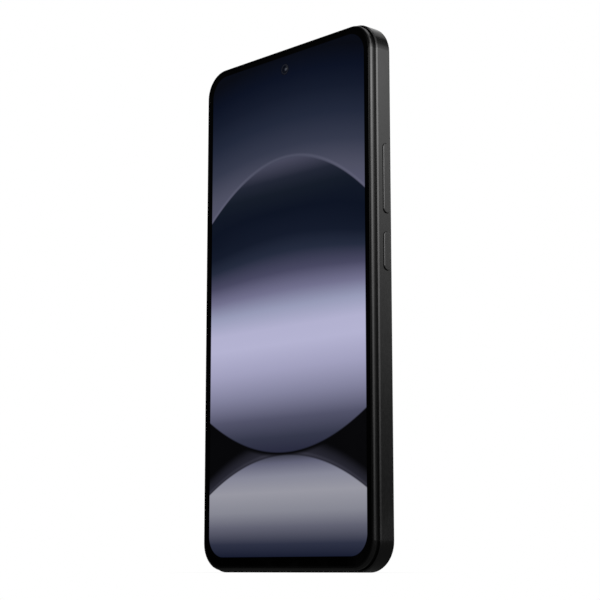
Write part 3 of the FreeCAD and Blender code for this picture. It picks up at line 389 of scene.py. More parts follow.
def make_screen_picture():
    """The screen: its wallpaper, its lit area, and the front camera drawn in its light: a faint glow over
    the hole, a ring, a painted glint, and its bulging lens.
    """
    outputs = [("Picture", COLOUR), ("Lit", NUMBER), ("Lens", NUMBER), ("Bulge", NUMBER)]
    tree, given, wanted = group_tree("screen_picture", [("Point", POINT, (0, 0, 0))], outputs)
    split = put(tree, "ShaderNodeSeparateXYZ", {0: given["Point"]}).outputs
    across = sum_of(tree, "MULTIPLY", split["X"], 1 / MM)
    height = sum_of(tree, "MULTIPLY", split["Z"], 1 / MM)
    picture = paint_wallpaper(tree, height, across)
    plug(tree, lit_area(tree, height, across), wanted["Lit"])

    hole_rise = sum_of(tree, "SUBTRACT", height, CAMERA_HOLE_HEIGHT)
    hole_point = put(tree, "ShaderNodeCombineXYZ", {0: across, 1: hole_rise}).outputs[0]
    hole = put(tree, "ShaderNodeVectorMath", {0: hole_point}, operation="LENGTH").outputs["Value"]
    # the lens's ring: lighter in the glass's colour, and painted into the light the hole gives off
    from_ring = sum_of(tree, "ABSOLUTE", sum_of(tree, "SUBTRACT", hole, CAMERA_RING_RADIUS))
    ring = spread(tree, from_ring, 0.25, 0.05)
    # a painted glint: a fixed pale spot given off as light, standing in for a reflection on the lens
    from_painted_glint = put(tree, "ShaderNodeVectorMath", {0: hole_point}, operation="DISTANCE")
    from_painted_glint.inputs[1].default_value = PAINTED_GLINT_PLACE
    painted_glint = spread(tree, from_painted_glint.outputs["Value"], 0.7, 0.1, smooth=True)
    painted_camera_glow = blend_colours(tree, painted_glint, ink(*CAMERA_DARK), ink(*PAINTED_CAMERA_GLINT))
    painted_camera_glow = blend_colours(tree, sum_of(tree, "MULTIPLY", ring, 0.8), painted_camera_glow, ink(*CAMERA_RING))
    # inside the hole, the camera's painted glow is given off in place of the picture
    in_hole = spread(tree, hole, CAMERA_HOLE_RADIUS + CUT_BLUR, CAMERA_HOLE_RADIUS - CUT_BLUR)
    plug(tree, blend_colours(tree, in_hole, picture, painted_camera_glow), wanted["Picture"])
    plug(tree, ring, wanted["Lens"])

    share = sum_of(tree, "DIVIDE", hole, LENS_RADIUS, clamp=True)
    cap = sum_of(tree, "SUBTRACT", 1.0, sum_of(tree, "MULTIPLY", share, share))
    bulge = sum_of(tree, "MULTIPLY", sum_of(tree, "SQRT", cap), LENS_RISE * LENS_RADIUS * MM)
    plug(tree, bulge, wanted["Bulge"])
    return tree


SCREEN_PICTURE = make_screen_picture()


# ---------------------------------------------------------------- finishes


class Finish:
    """A material being made: its tree, its shader and the object coordinates."""

    def __init__(self, name, **fixed):
        self.material = bpy.data.materials.new(name)
        self.material.use_nodes = True
        self.tree = self.material.node_tree
        self.tree.nodes.clear()
        end = self.tree.nodes.new("ShaderNodeOutputMaterial")
        self.shader = self.tree.nodes.new("ShaderNodeBsdfPrincipled")
        self.tree.links.new(self.shader.outputs["BSDF"], end.inputs["Surface"])
        self.point = self.tree.nodes.new("ShaderNodeTexCoord").outputs["Object"]
        for label, value in fixed.items():
            self.set(label.replace("_", " "), value)

    def set(self, label, value):
        plug(self.tree, value, self.shader.inputs[label])

    def vary(self, label, share, low, high):
        self.set(label, spread(self.tree, share, 0.0, 1.0, low, high))

    def use(self, group, **inputs):
        sockets = {label.replace("_", " "): value for label, value in inputs.items()}
        return use(self.tree, group, {"Point": self.point, **sockets})

    def bump(self, height, depth, strength=1.0, normal=None):
        sockets = {"Height": height, "Distance": depth, "Strength": strength}
        made = put(self.tree, "ShaderNodeBump", sockets)
        if normal is not None:
            plug(self.tree, normal, made.inputs["Normal"])
        self.set("Normal", made.outputs["Normal"])
        return made.outputs["Normal"]


def metal(name, dark, light, rough, grain=9000.0, grain_depth=0.000006, wear=0.35, bare=(0.5, 0.5, 0.5, 1)):
    """Blasted and dyed metal with bare metal just showing along its rubbed edges."""
    made = Finish(name, Metallic=1.0)
    tree = made.tree
    texture = made.use(FINE_GRAIN, Scale=grain)
    hands = made.use(HANDLING, Scale=70.0)
    worn = made.use(EDGE_WEAR, Width=0.00025, Amount=wear)["Mask"]
    colour = blend_colours(tree, texture["Tone"], dark, light)
    made.set("Base Color", blend_colours(tree, worn, colour, bare))
    base_rough = spread(tree, texture["Tone"], 0.0, 1.0, rough - 0.04, rough + 0.04)
    smeared = sum_of(tree, "MULTIPLY_ADD", hands["Smear"], 0.06, base_rough)
    made.set("Roughness", sum_of(tree, "SUBTRACT", smeared, sum_of(tree, "MULTIPLY", worn, 0.08)))
    made.bump(texture["Height"], grain_depth)
    return made.material


def moulded(name, dark, light, rough, grain=5000.0, depth=0.00001, wear=0.15, pale=(0.2, 0.2, 0.2, 1)):
    """Moulded plastic, rubber or resin with a fine grain and slightly paler corners."""
    made = Finish(name)
    tree = made.tree
    texture = made.use(FINE_GRAIN, Scale=grain)
    hands = made.use(HANDLING, Scale=90.0)
    worn = made.use(EDGE_WEAR, Width=0.0002, Amount=wear)["Mask"]
    colour = blend_colours(tree, texture["Tone"], dark, light)
    made.set("Base Color", blend_colours(tree, worn, colour, pale))
    base_rough = spread(tree, texture["Tone"], 0.0, 1.0, rough - 0.05, rough + 0.05)
    made.set("Roughness", sum_of(tree, "MULTIPLY_ADD", hands["Smear"], 0.05, base_rough))
    made.bump(texture["Height"], depth)
    return made.material


def make_bezel_plastic():
    """Gloss black resin round the glass, with the faintest grain."""
    made = Finish("bezel_plastic", IOR=1.5, Specular_IOR_Level=1.0)
    tree = made.tree
    texture = made.use(FINE_GRAIN, Scale=6000.0)
    hands = made.use(HANDLING, Scale=80.0)
    made.set("Base Color", blend_colours(tree, texture["Tone"], grey(0.0015), grey(0.004)))
    made.vary("Roughness", hands["Smear"], 0.15, 0.21)
    made.bump(texture["Height"], 0.000002)
    return made.material


def brushed(name, dark, light, rough, stretch, depth=0.000004, wear=0.4, bare=(0.7, 0.7, 0.7, 1)):
    """Rolled or brushed sheet metal with lines along one direction."""
    made = Finish(name, Metallic=1.0)
    tree = made.tree
    lines = made.use(BRUSHING, Stretch=stretch)
    hands = made.use(HANDLING, Scale=120.0)
    worn = made.use(EDGE_WEAR, Width=0.0002, Amount=wear)["Mask"]
    colour = blend_colours(tree, lines["Tone"], dark, light)
    made.set("Base Color", blend_colours(tree, worn, colour, bare))
    base_rough = spread(tree, lines["Tone"], 0.0, 1.0, rough - 0.05, rough + 0.05)
    made.set("Roughness", sum_of(tree, "MULTIPLY_ADD", hands["Smear"], 0.08, base_rough))
    made.bump(lines["Height"], depth)
    return made.material


def make_screen_glass():
    """The front glass, printed black round its edge, with the lit picture just under it."""
    made = Finish("screen_glass", IOR=1.5, Emission_Strength=1.0)
    tree = made.tree
    made.set("Coat Roughness", 0.015)
    hands = made.use(HANDLING, Scale=45.0)
    screen = made.use(SCREEN_PICTURE)
    black = blend_colours(tree, hands["Smear"], grey(0.0015), grey(0.003))
    made.set("Base Color", blend_colours(tree, screen["Lens"], black, grey(0.03)))
    made.vary("Roughness", hands["Smear"], 0.03, 0.1)
    made.vary("Coat Weight", hands["Dust"], 0.25, 0.1)
    # the picture is given off as light; its hole holds the front camera's painted glow, ring and glint
    made.set("Emission Color", blend_colours(tree, screen["Lit"], grey(0.0), screen["Picture"]))
    waves = sum_of(tree, "MULTIPLY_ADD", hands["Smear"], 0.0000001, screen["Bulge"])
    made.bump(waves, 1.0)
    return made.material


def make_display():
    """The screen's own layer: the same picture over dark cells."""
    made = Finish("display", Emission_Strength=0.9, IOR=1.5)
    tree = made.tree
    screen = made.use(SCREEN_PICTURE)
    cells = made.use(FINE_GRAIN, Scale=16000.0)
    made.set("Base Color", blend_colours(tree, cells["Tone"], grey(0.004), grey(0.009)))
    made.vary("Roughness", cells["Tone"], 0.12, 0.2)
    # the same picture given off as light, with the front camera's painted glow, ring and glint in its hole
    made.set("Emission Color", blend_colours(tree, screen["Lit"], grey(0.0), screen["Picture"]))
    made.bump(cells["Height"], 0.000001)
    return made.material


def make_back_panel():
    """Frosted black glass: a soft sheen over tiny flakes whose sparkle is painted as pale specks, smoother
    where hands have rubbed it.
    """
    made = Finish("back_panel", IOR=1.5, Coat_Roughness=0.12)
    tree = made.tree
    hands = made.use(HANDLING, Scale=38.0)
    texture = made.use(FINE_GRAIN, Scale=12000.0)
    flakes = put(tree, "ShaderNodeTexVoronoi", {"Vector": made.point, "Scale": 3500.0})
    # painted glints: the flakes' sparkle put into the colour as pale specks
    painted_glint = spread(tree, flakes.outputs["Distance"], 0.16, 0.05)
    tone = put(tree, "ShaderNodeSeparateColor", {0: flakes.outputs["Color"]}).outputs[0]
    painted_glint = sum_of(tree, "MULTIPLY", painted_glint, spread(tree, tone, 0.6, 0.95))
    deep = blend_colours(tree, texture["Tone"], grey(0.006), (0.011, 0.012, 0.014, 1))
    made.set("Base Color", blend_colours(tree, painted_glint, deep, (0.1, 0.105, 0.12, 1)))
    made.vary("Roughness", hands["Smear"], 0.3, 0.38)
    made.vary("Coat Weight", hands["Smear"], 0.3, 0.2)
    made.bump(texture["Height"], 0.000004)
    return made.material


def make_lens_glass():
    """Coated lens glass: clear, with a violet cast that deepens towards its rim."""
    made = Finish("lens_glass", IOR=1.5, Transmission_Weight=1.0)
    tree = made.tree
    hands = made.use(HANDLING, Scale=150.0)
    rim = put(tree, "ShaderNodeLayerWeight", {"Blend": 0.35}).outputs["Facing"]
    made.set("Base Color", blend_colours(tree, rim, (0.86, 0.9, 1.0, 1), (0.55, 0.5, 0.95, 1)))
    made.vary("Roughness", hands["Smear"], 0.004, 0.04)
    made.bump(hands["Smear"], 0.0000003, 0.2)
    return made.material


def make_coated_element(name, near, far):
    """A lens element seen from outside: deep and dark, with coloured coating reflections painted into its
    colour, stronger where it is seen edge-on.
    """
    made = Finish(name, IOR=1.7, Coat_Roughness=0.0)
    tree = made.tree
    hands = made.use(HANDLING, Scale=400.0)
    rim = put(tree, "ShaderNodeLayerWeight", {"Blend": 0.4}).outputs["Facing"]
    # painted coating reflection: dark face-on, turning to the coating's colour as the element is seen more
    # edge-on
    made.set("Base Color", blend_colours(tree, rim, near, far))
    made.vary("Roughness", hands["Smear"], 0.01, 0.05)
    made.vary("Coat Weight", hands["Smear"], 1.0, 0.8)
    made.bump(hands["Smear"], 0.0000003, 0.2)
    return made.material


def make_trim_metal():
    """Bright turned rings round the lenses, with lathe lines round each one's own axis."""
    made = Finish("trim_metal", Metallic=1.0)
    tree = made.tree
    low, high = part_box("main_lens_ring")
    main = (low + high) / 2
    low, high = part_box("wide_lens_ring")
    wide = (low + high) / 2
    upper = made.use(TURNED_LINES, Centre=main, Pitch=0.00006)
    lower = made.use(TURNED_LINES, Centre=wide, Pitch=0.00006)
    height = put(tree, "ShaderNodeSeparateXYZ", {0: made.point}).outputs["Z"]
    which = sum_of(tree, "GREATER_THAN", height, (main.z + wide.z) / 2)
    mixed = put(tree, "ShaderNodeMix", {0: which, 2: lower["Height"], 3: upper["Height"]}).outputs[0]
    worn = made.use(EDGE_WEAR, Width=0.0002, Amount=0.5)["Mask"]
    colour = blend_colours(tree, mixed, (0.16, 0.165, 0.175, 1), (0.24, 0.245, 0.26, 1))
    made.set("Base Color", blend_colours(tree, worn, colour, grey(0.6)))
    made.vary("Roughness", mixed, 0.2, 0.28)
    made.bump(mixed, 0.0000015)
    return made.material


def make_flash_plastic():
    """The lamp's window: milky plastic with stepped rings moulded inside it."""
    made = Finish("flash_plastic", IOR=1.49, Transmission_Weight=0.55)
    tree = made.tree
    low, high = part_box("flash_window")
    rings = made.use(TURNED_LINES, Centre=(low + high) / 2, Pitch=0.00036)
    texture = made.use(FINE_GRAIN, Scale=4000.0)
    milky = blend_colours(tree, rings["Height"], (0.75, 0.72, 0.62, 1), (0.95, 0.94, 0.88, 1))
    made.set("Base Color", milky)
    made.vary("Roughness", texture["Tone"], 0.08, 0.2)
    made.bump(rings["Height"], 0.00012)
    return made.material


def make_lamp():
    """Yellow phosphor, paler over the round die in its middle."""
    made = Finish("lamp")
    tree = made.tree
    cells = made.use(FINE_GRAIN, Scale=5000.0)
    low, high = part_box("flash_lamp")
    spot = made.use(TURNED_LINES, Centre=(low + high) / 2, Pitch=0.001)
    die = spread(tree, spot["Distance"], 0.0012, 0.0009)
    resin = blend_colours(tree, cells["Tone"], (0.62, 0.45, 0.05, 1), (0.8, 0.62, 0.1, 1))
    made.set("Base Color", blend_colours(tree, die, resin, (0.9, 0.8, 0.35, 1)))
    made.vary("Roughness", cells["Tone"], 0.35, 0.55)
    made.bump(cells["Height"], 0.00001)
    return made.material


def make_board(name, skin, copper, pad, pitch):
    """A printed board or flexible strip: copper lines under its skin and bare plated pads."""
    made = Finish(name, IOR=1.5, Coat_Roughness=0.15)
    tree = made.tree
    lines = made.use(COPPER_LINES, Pitch=pitch)
    texture = made.use(FINE_GRAIN, Scale=6000.0)
    colour = blend_colours(tree, lines["Line"], skin, copper)
    colour = blend_colours(tree, sum_of(tree, "MULTIPLY", texture["Tone"], 0.25), colour, grey(0.01))
    made.set("Base Color", blend_colours(tree, lines["Pad"], colour, pad))
    made.set("Metallic", sum_of(tree, "MULTIPLY", lines["Pad"], 0.9))
    made.vary("Roughness", texture["Tone"], 0.3, 0.42)
    made.vary("Coat Weight", lines["Pad"], 0.5, 0.0)
    made.bump(lines["Line"], 0.00002)
    return made.material


def make_battery_skin():
    """A foil pouch: dull dark film with shallow crinkles."""
    made = Finish("battery_skin", Coat_Roughness=0.25)
    tree = made.tree
    folds = put(tree, "ShaderNodeTexNoise", {"Vector": made.point, "Scale": 180.0, "Distortion": 1.5})
    texture = made.use(FINE_GRAIN, Scale=7000.0)
    crease = spread(tree, folds.outputs["Fac"], 0.4, 0.6)
    # painted shade: the film is darker in the hollows of its crinkles and paler on their tops, following
    # the bump
    made.set("Base Color", blend_colours(tree, crease, grey(0.02), grey(0.035)))
    made.vary("Metallic", texture["Tone"], 0.15, 0.3)
    made.vary("Roughness", texture["Tone"], 0.38, 0.5)
    made.vary("Coat Weight", crease, 0.1, 0.3)
    made.bump(folds.outputs["Fac"], 0.00025)
    return made.material


def make_foam():
    """Open black foam with small round cells."""
    made = Finish("foam")
    tree = made.tree
    cells = put(tree, "ShaderNodeTexVoronoi", {"Vector": made.point, "Scale": 2600.0})
    texture = made.use(FINE_GRAIN, Scale=3000.0)
    open_cell = spread(tree, cells.outputs["Distance"], 0.1, 0.5)
    # painted shade: darker down in each cell, paler on the walls between them, following the bump
    made.set("Base Color", blend_colours(tree, open_cell, grey(0.006), grey(0.03)))
    made.vary("Roughness", texture["Tone"], 0.85, 0.98)
    made.bump(cells.outputs["Distance"], 0.00012)
    return made.material


def make_mesh_wire():
    """Drawn steel wire, dyed black, with a dull blue cast that comes and goes with its grain."""
    made = Finish("mesh", Metallic=1.0)
    tree = made.tree
    texture = made.use(FINE_GRAIN, Scale=20000.0)
    worn = made.use(EDGE_WEAR, Width=0.00004, Amount=0.6)["Mask"]
    colour = blend_colours(tree, texture["Tone"], grey(0.05), (0.09, 0.09, 0.1, 1))
    made.set("Base Color", blend_colours(tree, worn, colour, grey(0.4)))
    made.vary("Roughness", texture["Tone"], 0.3, 0.45)
    made.bump(texture["Height"], 0.000002)
    return made.material


def make_contact_gold():
    """Hard gold plating over nickel, thinner along the rubbed edges."""
    made = Finish("contact_gold", Metallic=1.0)
    tree = made.tree
    lines = made.use(BRUSHING, Stretch=(9000.0, 9000.0, 60.0))
    worn = made.use(EDGE_WEAR, Width=0.0001, Amount=0.5)["Mask"]
    colour = blend_colours(tree, lines["Tone"], (0.75, 0.5, 0.18, 1), (0.92, 0.68, 0.3, 1))
    made.set("Base Color", blend_colours(tree, worn, colour, (0.6, 0.58, 0.52, 1)))
    made.vary("Roughness", lines["Tone"], 0.2, 0.3)
    made.bump(lines["Height"], 0.000002)
    return made.material


# how tightly a brushed finish is squeezed along X, Y and Z, per metre
LENGTHWAYS = (9000.0, 9000.0, 50.0)
ACROSS = (50.0, 9000.0, 9000.0)
MASK_BLUE = (0.01, 0.03, 0.05, 1)
MASK_BLUE_OVER_COPPER = (0.02, 0.06, 0.09, 1)
AMBER_FILM = (0.16, 0.07, 0.015, 1)
AMBER_OVER_COPPER = (0.32, 0.16, 0.04, 1)
BOARD_GOLD = (0.8, 0.6, 0.25, 1)
FLEX_GOLD = (0.85, 0.62, 0.25, 1)

FINISHES = {
    "frame_metal": metal(
        "frame_metal", grey(0.095), grey(0.11), 0.165, grain_depth=0.000001, wear=0.05, bare=grey(0.2)
    ),
    "key_metal": metal("key_metal", grey(0.1), grey(0.12), 0.2, wear=0.3, bare=grey(0.3)),
    "island_metal": metal("island_metal", grey(0.06), grey(0.08), 0.36, wear=0.3, bare=grey(0.35)),
    "magnesium": metal("magnesium", grey(0.3), grey(0.4), 0.5, grain=3000.0, grain_depth=0.00002),
    "screw_steel": metal("screw_steel", grey(0.25), grey(0.32), 0.3, bare=grey(0.6)),
    "bezel_plastic": make_bezel_plastic(),
    "black_plastic": moulded("black_plastic", grey(0.012), grey(0.02), 0.45),
    "camera_body": moulded("camera_body", grey(0.008), grey(0.014), 0.5, wear=0.1),
    "chip": moulded("chip", grey(0.015), grey(0.025), 0.55, grain=8000.0),
    "gasket_rubber": moulded("gasket_rubber", (0.03, 0.03, 0.035, 1), (0.05, 0.05, 0.055, 1), 0.7),
    "adhesive": moulded("adhesive", (0.03, 0.03, 0.032, 1), (0.06, 0.06, 0.062, 1), 0.35, grain=2500.0),
    "graphite": brushed("graphite", grey(0.04), grey(0.08), 0.45, LENGTHWAYS, wear=0.1),
    "steel": brushed("steel", grey(0.42), grey(0.52), 0.32, ACROSS),
    "shield_steel": brushed("shield_steel", (0.5, 0.49, 0.46, 1), (0.6, 0.59, 0.56, 1), 0.34, LENGTHWAYS),
    "port_steel": brushed("port_steel", grey(0.4), grey(0.5), 0.28, LENGTHWAYS, wear=0.6),
    "screen_glass": make_screen_glass(),
    "display": make_display(),
    "back_panel": make_back_panel(),
    "lens_glass": make_lens_glass(),
    "trim_metal": make_trim_metal(),
    "flash_plastic": make_flash_plastic(),
    "lamp": make_lamp(),
    "circuit": make_board("circuit", MASK_BLUE, MASK_BLUE_OVER_COPPER, BOARD_GOLD, 0.0005),
    "flex": make_board("flex", AMBER_FILM, AMBER_OVER_COPPER, FLEX_GOLD, 0.0004),
    "battery_skin": make_battery_skin(),
    "foam": make_foam(),
    "mesh": make_mesh_wire(),
    "contact_gold": make_contact_gold(),
}

for piece in NODES.values():
    for place in piece.material_slots:
        place.material = FINISHES[place.material.name.split(".")[0]]


# ---------------------------------------------------------------- turned pieces: the lenses


TURN_STEPS = 96
MERGE_DISTANCE = 0.0005 * MM
SLIVER_LENGTH = 0.0001 * MM
SHARP_ANGLE = math.radians(35)


def turned(name, outline, centre, material, slot, body="phone"):
    """A closed solid turned about a line along Y through centre, from an outline of (radius, y) in mm."""
    shape = bmesh.new()
    columns = []
    for step in range(TURN_STEPS):
        angle = 2 * math.pi * step / TURN_STEPS
        column = []
        for radius, depth in outline:
            place = (radius * math.cos(angle), depth, radius * math.sin(angle))
            column.append(shape.verts.new((Vector(place) + Vector(centre)) * MM))
        columns.append(column)
    for step in range(TURN_STEPS):
        near, far = columns[step], columns[(step + 1) % TURN_STEPS]
        for row in range(len(outline) - 1):
            shape.faces.new((near[row], near[row + 1], far[row + 1], far[row]))
    bmesh.ops.remove_doubles(shape, verts=shape.verts, dist=MERGE_DISTANCE)
    bmesh.ops.dissolve_degenerate(shape, dist=SLIVER_LENGTH, edges=shape.edges)
    bmesh.ops.recalc_face_normals(shape, faces=shape.faces)
    mesh = bpy.data.meshes.new(name)
    shape.to_mesh(mesh)
    shape.free()
    for face in mesh.polygons:
        face.use_smooth = True
    mesh.set_sharp_from_angle(angle=SHARP_ANGLE)
    piece = bpy.data.objects.new(name, mesh)
    bpy.context.scene.collection.objects.link(piece)
    mesh.materials.append(material)
    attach(piece, body)
    return piece


DOME_STEPS = 12


def dome(radius, edge, rise):
    """Points of a shallow dome from its edge in to the axis."""
    points = []
    for step in range(DOME_STEPS, -1, -1):
        share = step / DOME_STEPS
        points.append((radius * share, edge + rise * (1 - share * share)))
    return points


# lens elements with their coloured coating reflections painted into their colour
VIOLET = make_coated_element("violet_coating", (0.004, 0.003, 0.012, 1), (0.05, 0.02, 0.16, 1))
GREEN = make_coated_element("green_coating", (0.002, 0.008, 0.008, 1), (0.01, 0.08, 0.07, 1))


def middle_of(node):
    """The middle of a node's box across and up, in mm."""
    low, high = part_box(node)
    return (low.x + high.x) / 2 / MM, 0.0, (low.z + high.z) / 2 / MM


# inside the barrel's mouth, ledges step down to the element: (radius of the wall above, depth of the ledge)
MOUTH_LEDGES = ((2.75, 0.3), (2.45, 0.6), (2.1, 0.9))
BARREL_BACK_CHAMFER = 0.3
BARREL_FRONT_CHAMFER = 0.25
LEDGE_CHAMFER = 0.05
FRONT_ELEMENT_RADIUS = 1.74
FRONT_ELEMENT_RISE = 0.42
ELEMENT_GAP = 0.01
ELEMENT_WALL = 0.02


def make_focus_lens():
    """The moving lens of the main camera: a stepped barrel with its front element."""
    low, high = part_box("focus_lens")
    barrel_radius = (high.x - low.x) / 2 / MM
    back, front = low.y / MM, high.y / MM
    outline = [
        (0.0, back),
        (barrel_radius - BARREL_BACK_CHAMFER, back),
        (barrel_radius, back + BARREL_BACK_CHAMFER),
        (barrel_radius, front - BARREL_FRONT_CHAMFER),
        (barrel_radius - BARREL_FRONT_CHAMFER, front),
    ]
    depth = 0.0
    for radius, ledge in MOUTH_LEDGES:
        outline.append((radius, front - depth))
        outline.append((radius - LEDGE_CHAMFER, front - ledge + LEDGE_CHAMFER))
        depth = ledge
    floor_of_mouth = front - depth
    outline.append((FRONT_ELEMENT_RADIUS + ELEMENT_GAP, floor_of_mouth))
    outline.append((0.0, floor_of_mouth))
    middle = middle_of("focus_lens")
    barrel = turned("focus_barrel", outline, middle, FINISHES["camera_body"], "camera_body", "autofocus")
    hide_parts("focus_lens")
    foot = floor_of_mouth + ELEMENT_WALL
    element = [(0.0, foot), (FRONT_ELEMENT_RADIUS, foot)]
    element += dome(FRONT_ELEMENT_RADIUS, foot + ELEMENT_WALL, FRONT_ELEMENT_RISE)
    turned("focus_element", element, middle, VIOLET, "lens_glass", "autofocus")


RECESS_DEPTH = 0.4
FIXED_ELEMENT_EDGE = 0.06
FIXED_ELEMENT_RISE = 0.3


def make_fixed_lens(name, coating, radius):
    """The element and its bevelled collar in the recess of a camera that doesn't move."""
    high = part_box(name + "_camera")[1]
    middle = middle_of(name + "_camera")
    foot = high.y / MM - RECESS_DEPTH
    element = [(0.0, foot), (radius, foot)]
    element += dome(radius, foot + FIXED_ELEMENT_EDGE, FIXED_ELEMENT_RISE)
    turned(name + "_lens_element", element, middle, coating, "lens_glass")
    collar = (
        (radius + 0.02, foot),
        (radius + 0.3, foot),
        (radius + 0.3, foot + 0.22),
        (radius + 0.2, foot + 0.3),
        (radius + 0.02, foot + 0.1),
        (radius + 0.02, foot),
    )
    turned(name + "_lens_collar", collar, middle, FINISHES["trim_metal"], "trim_metal")


make_focus_lens()
make_fixed_lens("wide", GREEN, 1.9)
make_fixed_lens("macro", VIOLET, 1.2)


# ---------------------------------------------------------------- woven screens over the sound openings


WEAVE_PITCH = 0.25 * MM
WIRE_SIDES = 5
POINTS_PER_CROSSING = 4.0
# how far a wire's middle rises at a crossing, in wire radii
WIRE_LIFT = 0.85


def maths(tree, operation, first, second=0.0):
    """The output of one Math node in a Geometry Nodes tree."""
    return put(tree, "ShaderNodeMath", {0: first, 1: second}, operation=operation).outputs[0]


def run_of_wires(tree, given, ring, axis, sign):
    """Parallel wires along one axis (0 for X, 1 for Y), waved over and under the ones they cross."""
    along, across = (given["Length"], given["Width"]) if axis == 0 else (given["Width"], given["Length"])
    other = 1 - axis
    pair_pitch = maths(tree, "MULTIPLY", given["Pitch"], 2.0)
    pairs = maths(tree, "FLOOR", maths(tree, "DIVIDE", across, pair_pitch))
    count = maths(tree, "MULTIPLY", pairs, 2.0)
    half_run = maths(tree, "MULTIPLY", along, 0.5)
    low_end = put(tree, "ShaderNodeCombineXYZ", {axis: maths(tree, "MULTIPLY", half_run, -1.0)}).outputs[0]
    high_end = put(tree, "ShaderNodeCombineXYZ", {axis: half_run}).outputs[0]
    line = put(tree, "GeometryNodeCurvePrimitiveLine", {"Start": low_end, "End": high_end})
    crossings = maths(tree, "DIVIDE", along, given["Pitch"])
    samples = maths(tree, "MULTIPLY", crossings, POINTS_PER_CROSSING)
    fine = put(tree, "GeometryNodeResampleCurve", {"Curve": line.outputs[0], "Count": samples})

    span = maths(tree, "MULTIPLY", maths(tree, "SUBTRACT", count, 1.0), given["Pitch"])
    start = put(tree, "ShaderNodeCombineXYZ", {other: maths(tree, "MULTIPLY", span, -0.5)}).outputs[0]
    step = put(tree, "ShaderNodeCombineXYZ", {other: given["Pitch"]}).outputs[0]
    row = {"Count": count, "Start Location": start, "Offset": step}
    places = put(tree, "GeometryNodeMeshLine", row)
    sockets = {"Points": places.outputs[0], "Instance": fine.outputs[0]}
    copies = put(tree, "GeometryNodeInstanceOnPoints", sockets)
    real = put(tree, "GeometryNodeRealizeInstances", {0: copies.outputs[0]})

    place = tree.nodes.new("GeometryNodeInputPosition").outputs[0]
    split = put(tree, "ShaderNodeSeparateXYZ", {0: place}).outputs
    waves = []
    for direction in range(2):
        turns = maths(tree, "DIVIDE", split[direction], given["Pitch"])
        waves.append(maths(tree, "SINE", maths(tree, "MULTIPLY", turns, math.pi)))
    lift = maths(tree, "MULTIPLY", maths(tree, "MULTIPLY", waves[0], waves[1]), sign)
    lift = maths(tree, "MULTIPLY", lift, maths(tree, "MULTIPLY", given["Wire"], WIRE_LIFT))
    offset = put(tree, "ShaderNodeCombineXYZ", {2: lift}).outputs[0]
    bent = put(tree, "GeometryNodeSetPosition", {"Geometry": real.outputs[0], "Offset": offset})
    sockets = {"Curve": bent.outputs[0], "Profile Curve": ring, "Fill Caps": True}
    return put(tree, "GeometryNodeCurveToMesh", sockets).outputs[0]


def weave_tree():
    """Wires both ways, each passing over and under the ones it crosses."""
    tree = bpy.data.node_groups.new("woven_screen", "GeometryNodeTree")
    tree.interface.new_socket("Geometry", in_out="OUTPUT", socket_type="NodeSocketGeometry")
    for label, default in (("Length", 0.016), ("Width", 0.002), ("Pitch", WEAVE_PITCH), ("Wire", 0.00004)):
        socket = tree.interface.new_socket(label, in_out="INPUT", socket_type="NodeSocketFloat")
        socket.default_value = default
    tree.interface.new_socket("Finish", in_out="INPUT", socket_type="NodeSocketMaterial")
    given = tree.nodes.new("NodeGroupInput").outputs
    end = tree.nodes.new("NodeGroupOutput")
    round_wire = {"Resolution": WIRE_SIDES, "Radius": given["Wire"]}
    ring = put(tree, "GeometryNodeCurvePrimitiveCircle", round_wire).outputs[0]
    joined = tree.nodes.new("GeometryNodeJoinGeometry")
    for axis, sign in ((0, 1.0), (1, -1.0)):
        tree.links.new(run_of_wires(tree, given, ring, axis, sign), joined.inputs[0])
    smooth = put(tree, "GeometryNodeSetShadeSmooth", {0: joined.outputs[0]})
    real = put(tree, "GeometryNodeRealizeInstances", {0: smooth.outputs[0]})
    sockets = {"Geometry": real.outputs[0], "Material": given["Finish"]}
    painted = put(tree, "GeometryNodeSetMaterial", sockets)
    tree.links.new(painted.outputs[0], end.inputs[0])
    return tree


def grown(name, tree, values):
    """A plain mesh object made by a Geometry Nodes tree with the given input values."""
    holder = bpy.data.objects.new(name, bpy.data.meshes.new(name + "_seed"))
    bpy.context.scene.collection.objects.link(holder)
    modifier = holder.modifiers.new("grow", "NODES")
    modifier.node_group = tree
    for socket in tree.interface.items_tree:
        if socket.in_out == "INPUT" and socket.name in values:
            modifier[socket.identifier] = values[socket.name]
    bpy.context.view_layer.update()
    ready = holder.evaluated_get(bpy.context.evaluated_depsgraph_get())
    mesh = bpy.data.meshes.new_from_object(ready)
    holder.modifiers.remove(modifier)
    bpy.data.objects.remove(holder)
    mesh.name = name
    piece = bpy.data.objects.new(name, mesh)
    bpy.context.scene.collection.objects.link(piece)
    return piece


WEAVE = weave_tree()
for name in ("speaker_mesh", "earpiece_mesh"):
    low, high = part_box(name)
    size = high - low
    wire = size.z / 2 / (1 + WIRE_LIFT)
    values = {
        "Length": size.x,
        "Width": size.y,
        "Pitch": WEAVE_PITCH,
        "Wire": wire,
        "Finish": FINISHES["mesh"],
    }
    screen = grown("woven_" + name, WEAVE, values)
    screen.data.transform(Matrix.Translation((low + high) / 2))
    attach(screen, "phone")
    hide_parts(name)


# ---------------------------------------------------------------- floor, light and camera

WHITE = grey(1.0)
FLOOR_HALF_SIZE = 20.0
CONTACT_SHADE_REACH = 0.03
CONTACT_SHADE_DARKEST = 0.72
# the floor's brightness in gloss, behind the phone, and what is added to its right
FLOOR_BEHIND = (0.05, 0.28)
FLOOR_BESIDE = (0.0, 0.13)


def show_to_camera(tree, seen, dim, kind, end_kind):
    """Shows one brightness straight to the camera, and another in reflections and as light."""
    dim_node = put(tree, kind, {"Color": dim, "Strength": 1.0})
    seen_node = put(tree, kind, {"Color": seen, "Strength": 1.0})
    path = tree.nodes.new("ShaderNodeLightPath")
    sockets = {0: path.outputs["Is Camera Ray"], 1: dim_node.outputs[0], 2: seen_node.outputs[0]}
    mixed = put(tree, "ShaderNodeMixShader", sockets)
    end = tree.nodes.new(end_kind)
    tree.links.new(mixed.outputs[0], end.inputs["Surface"])


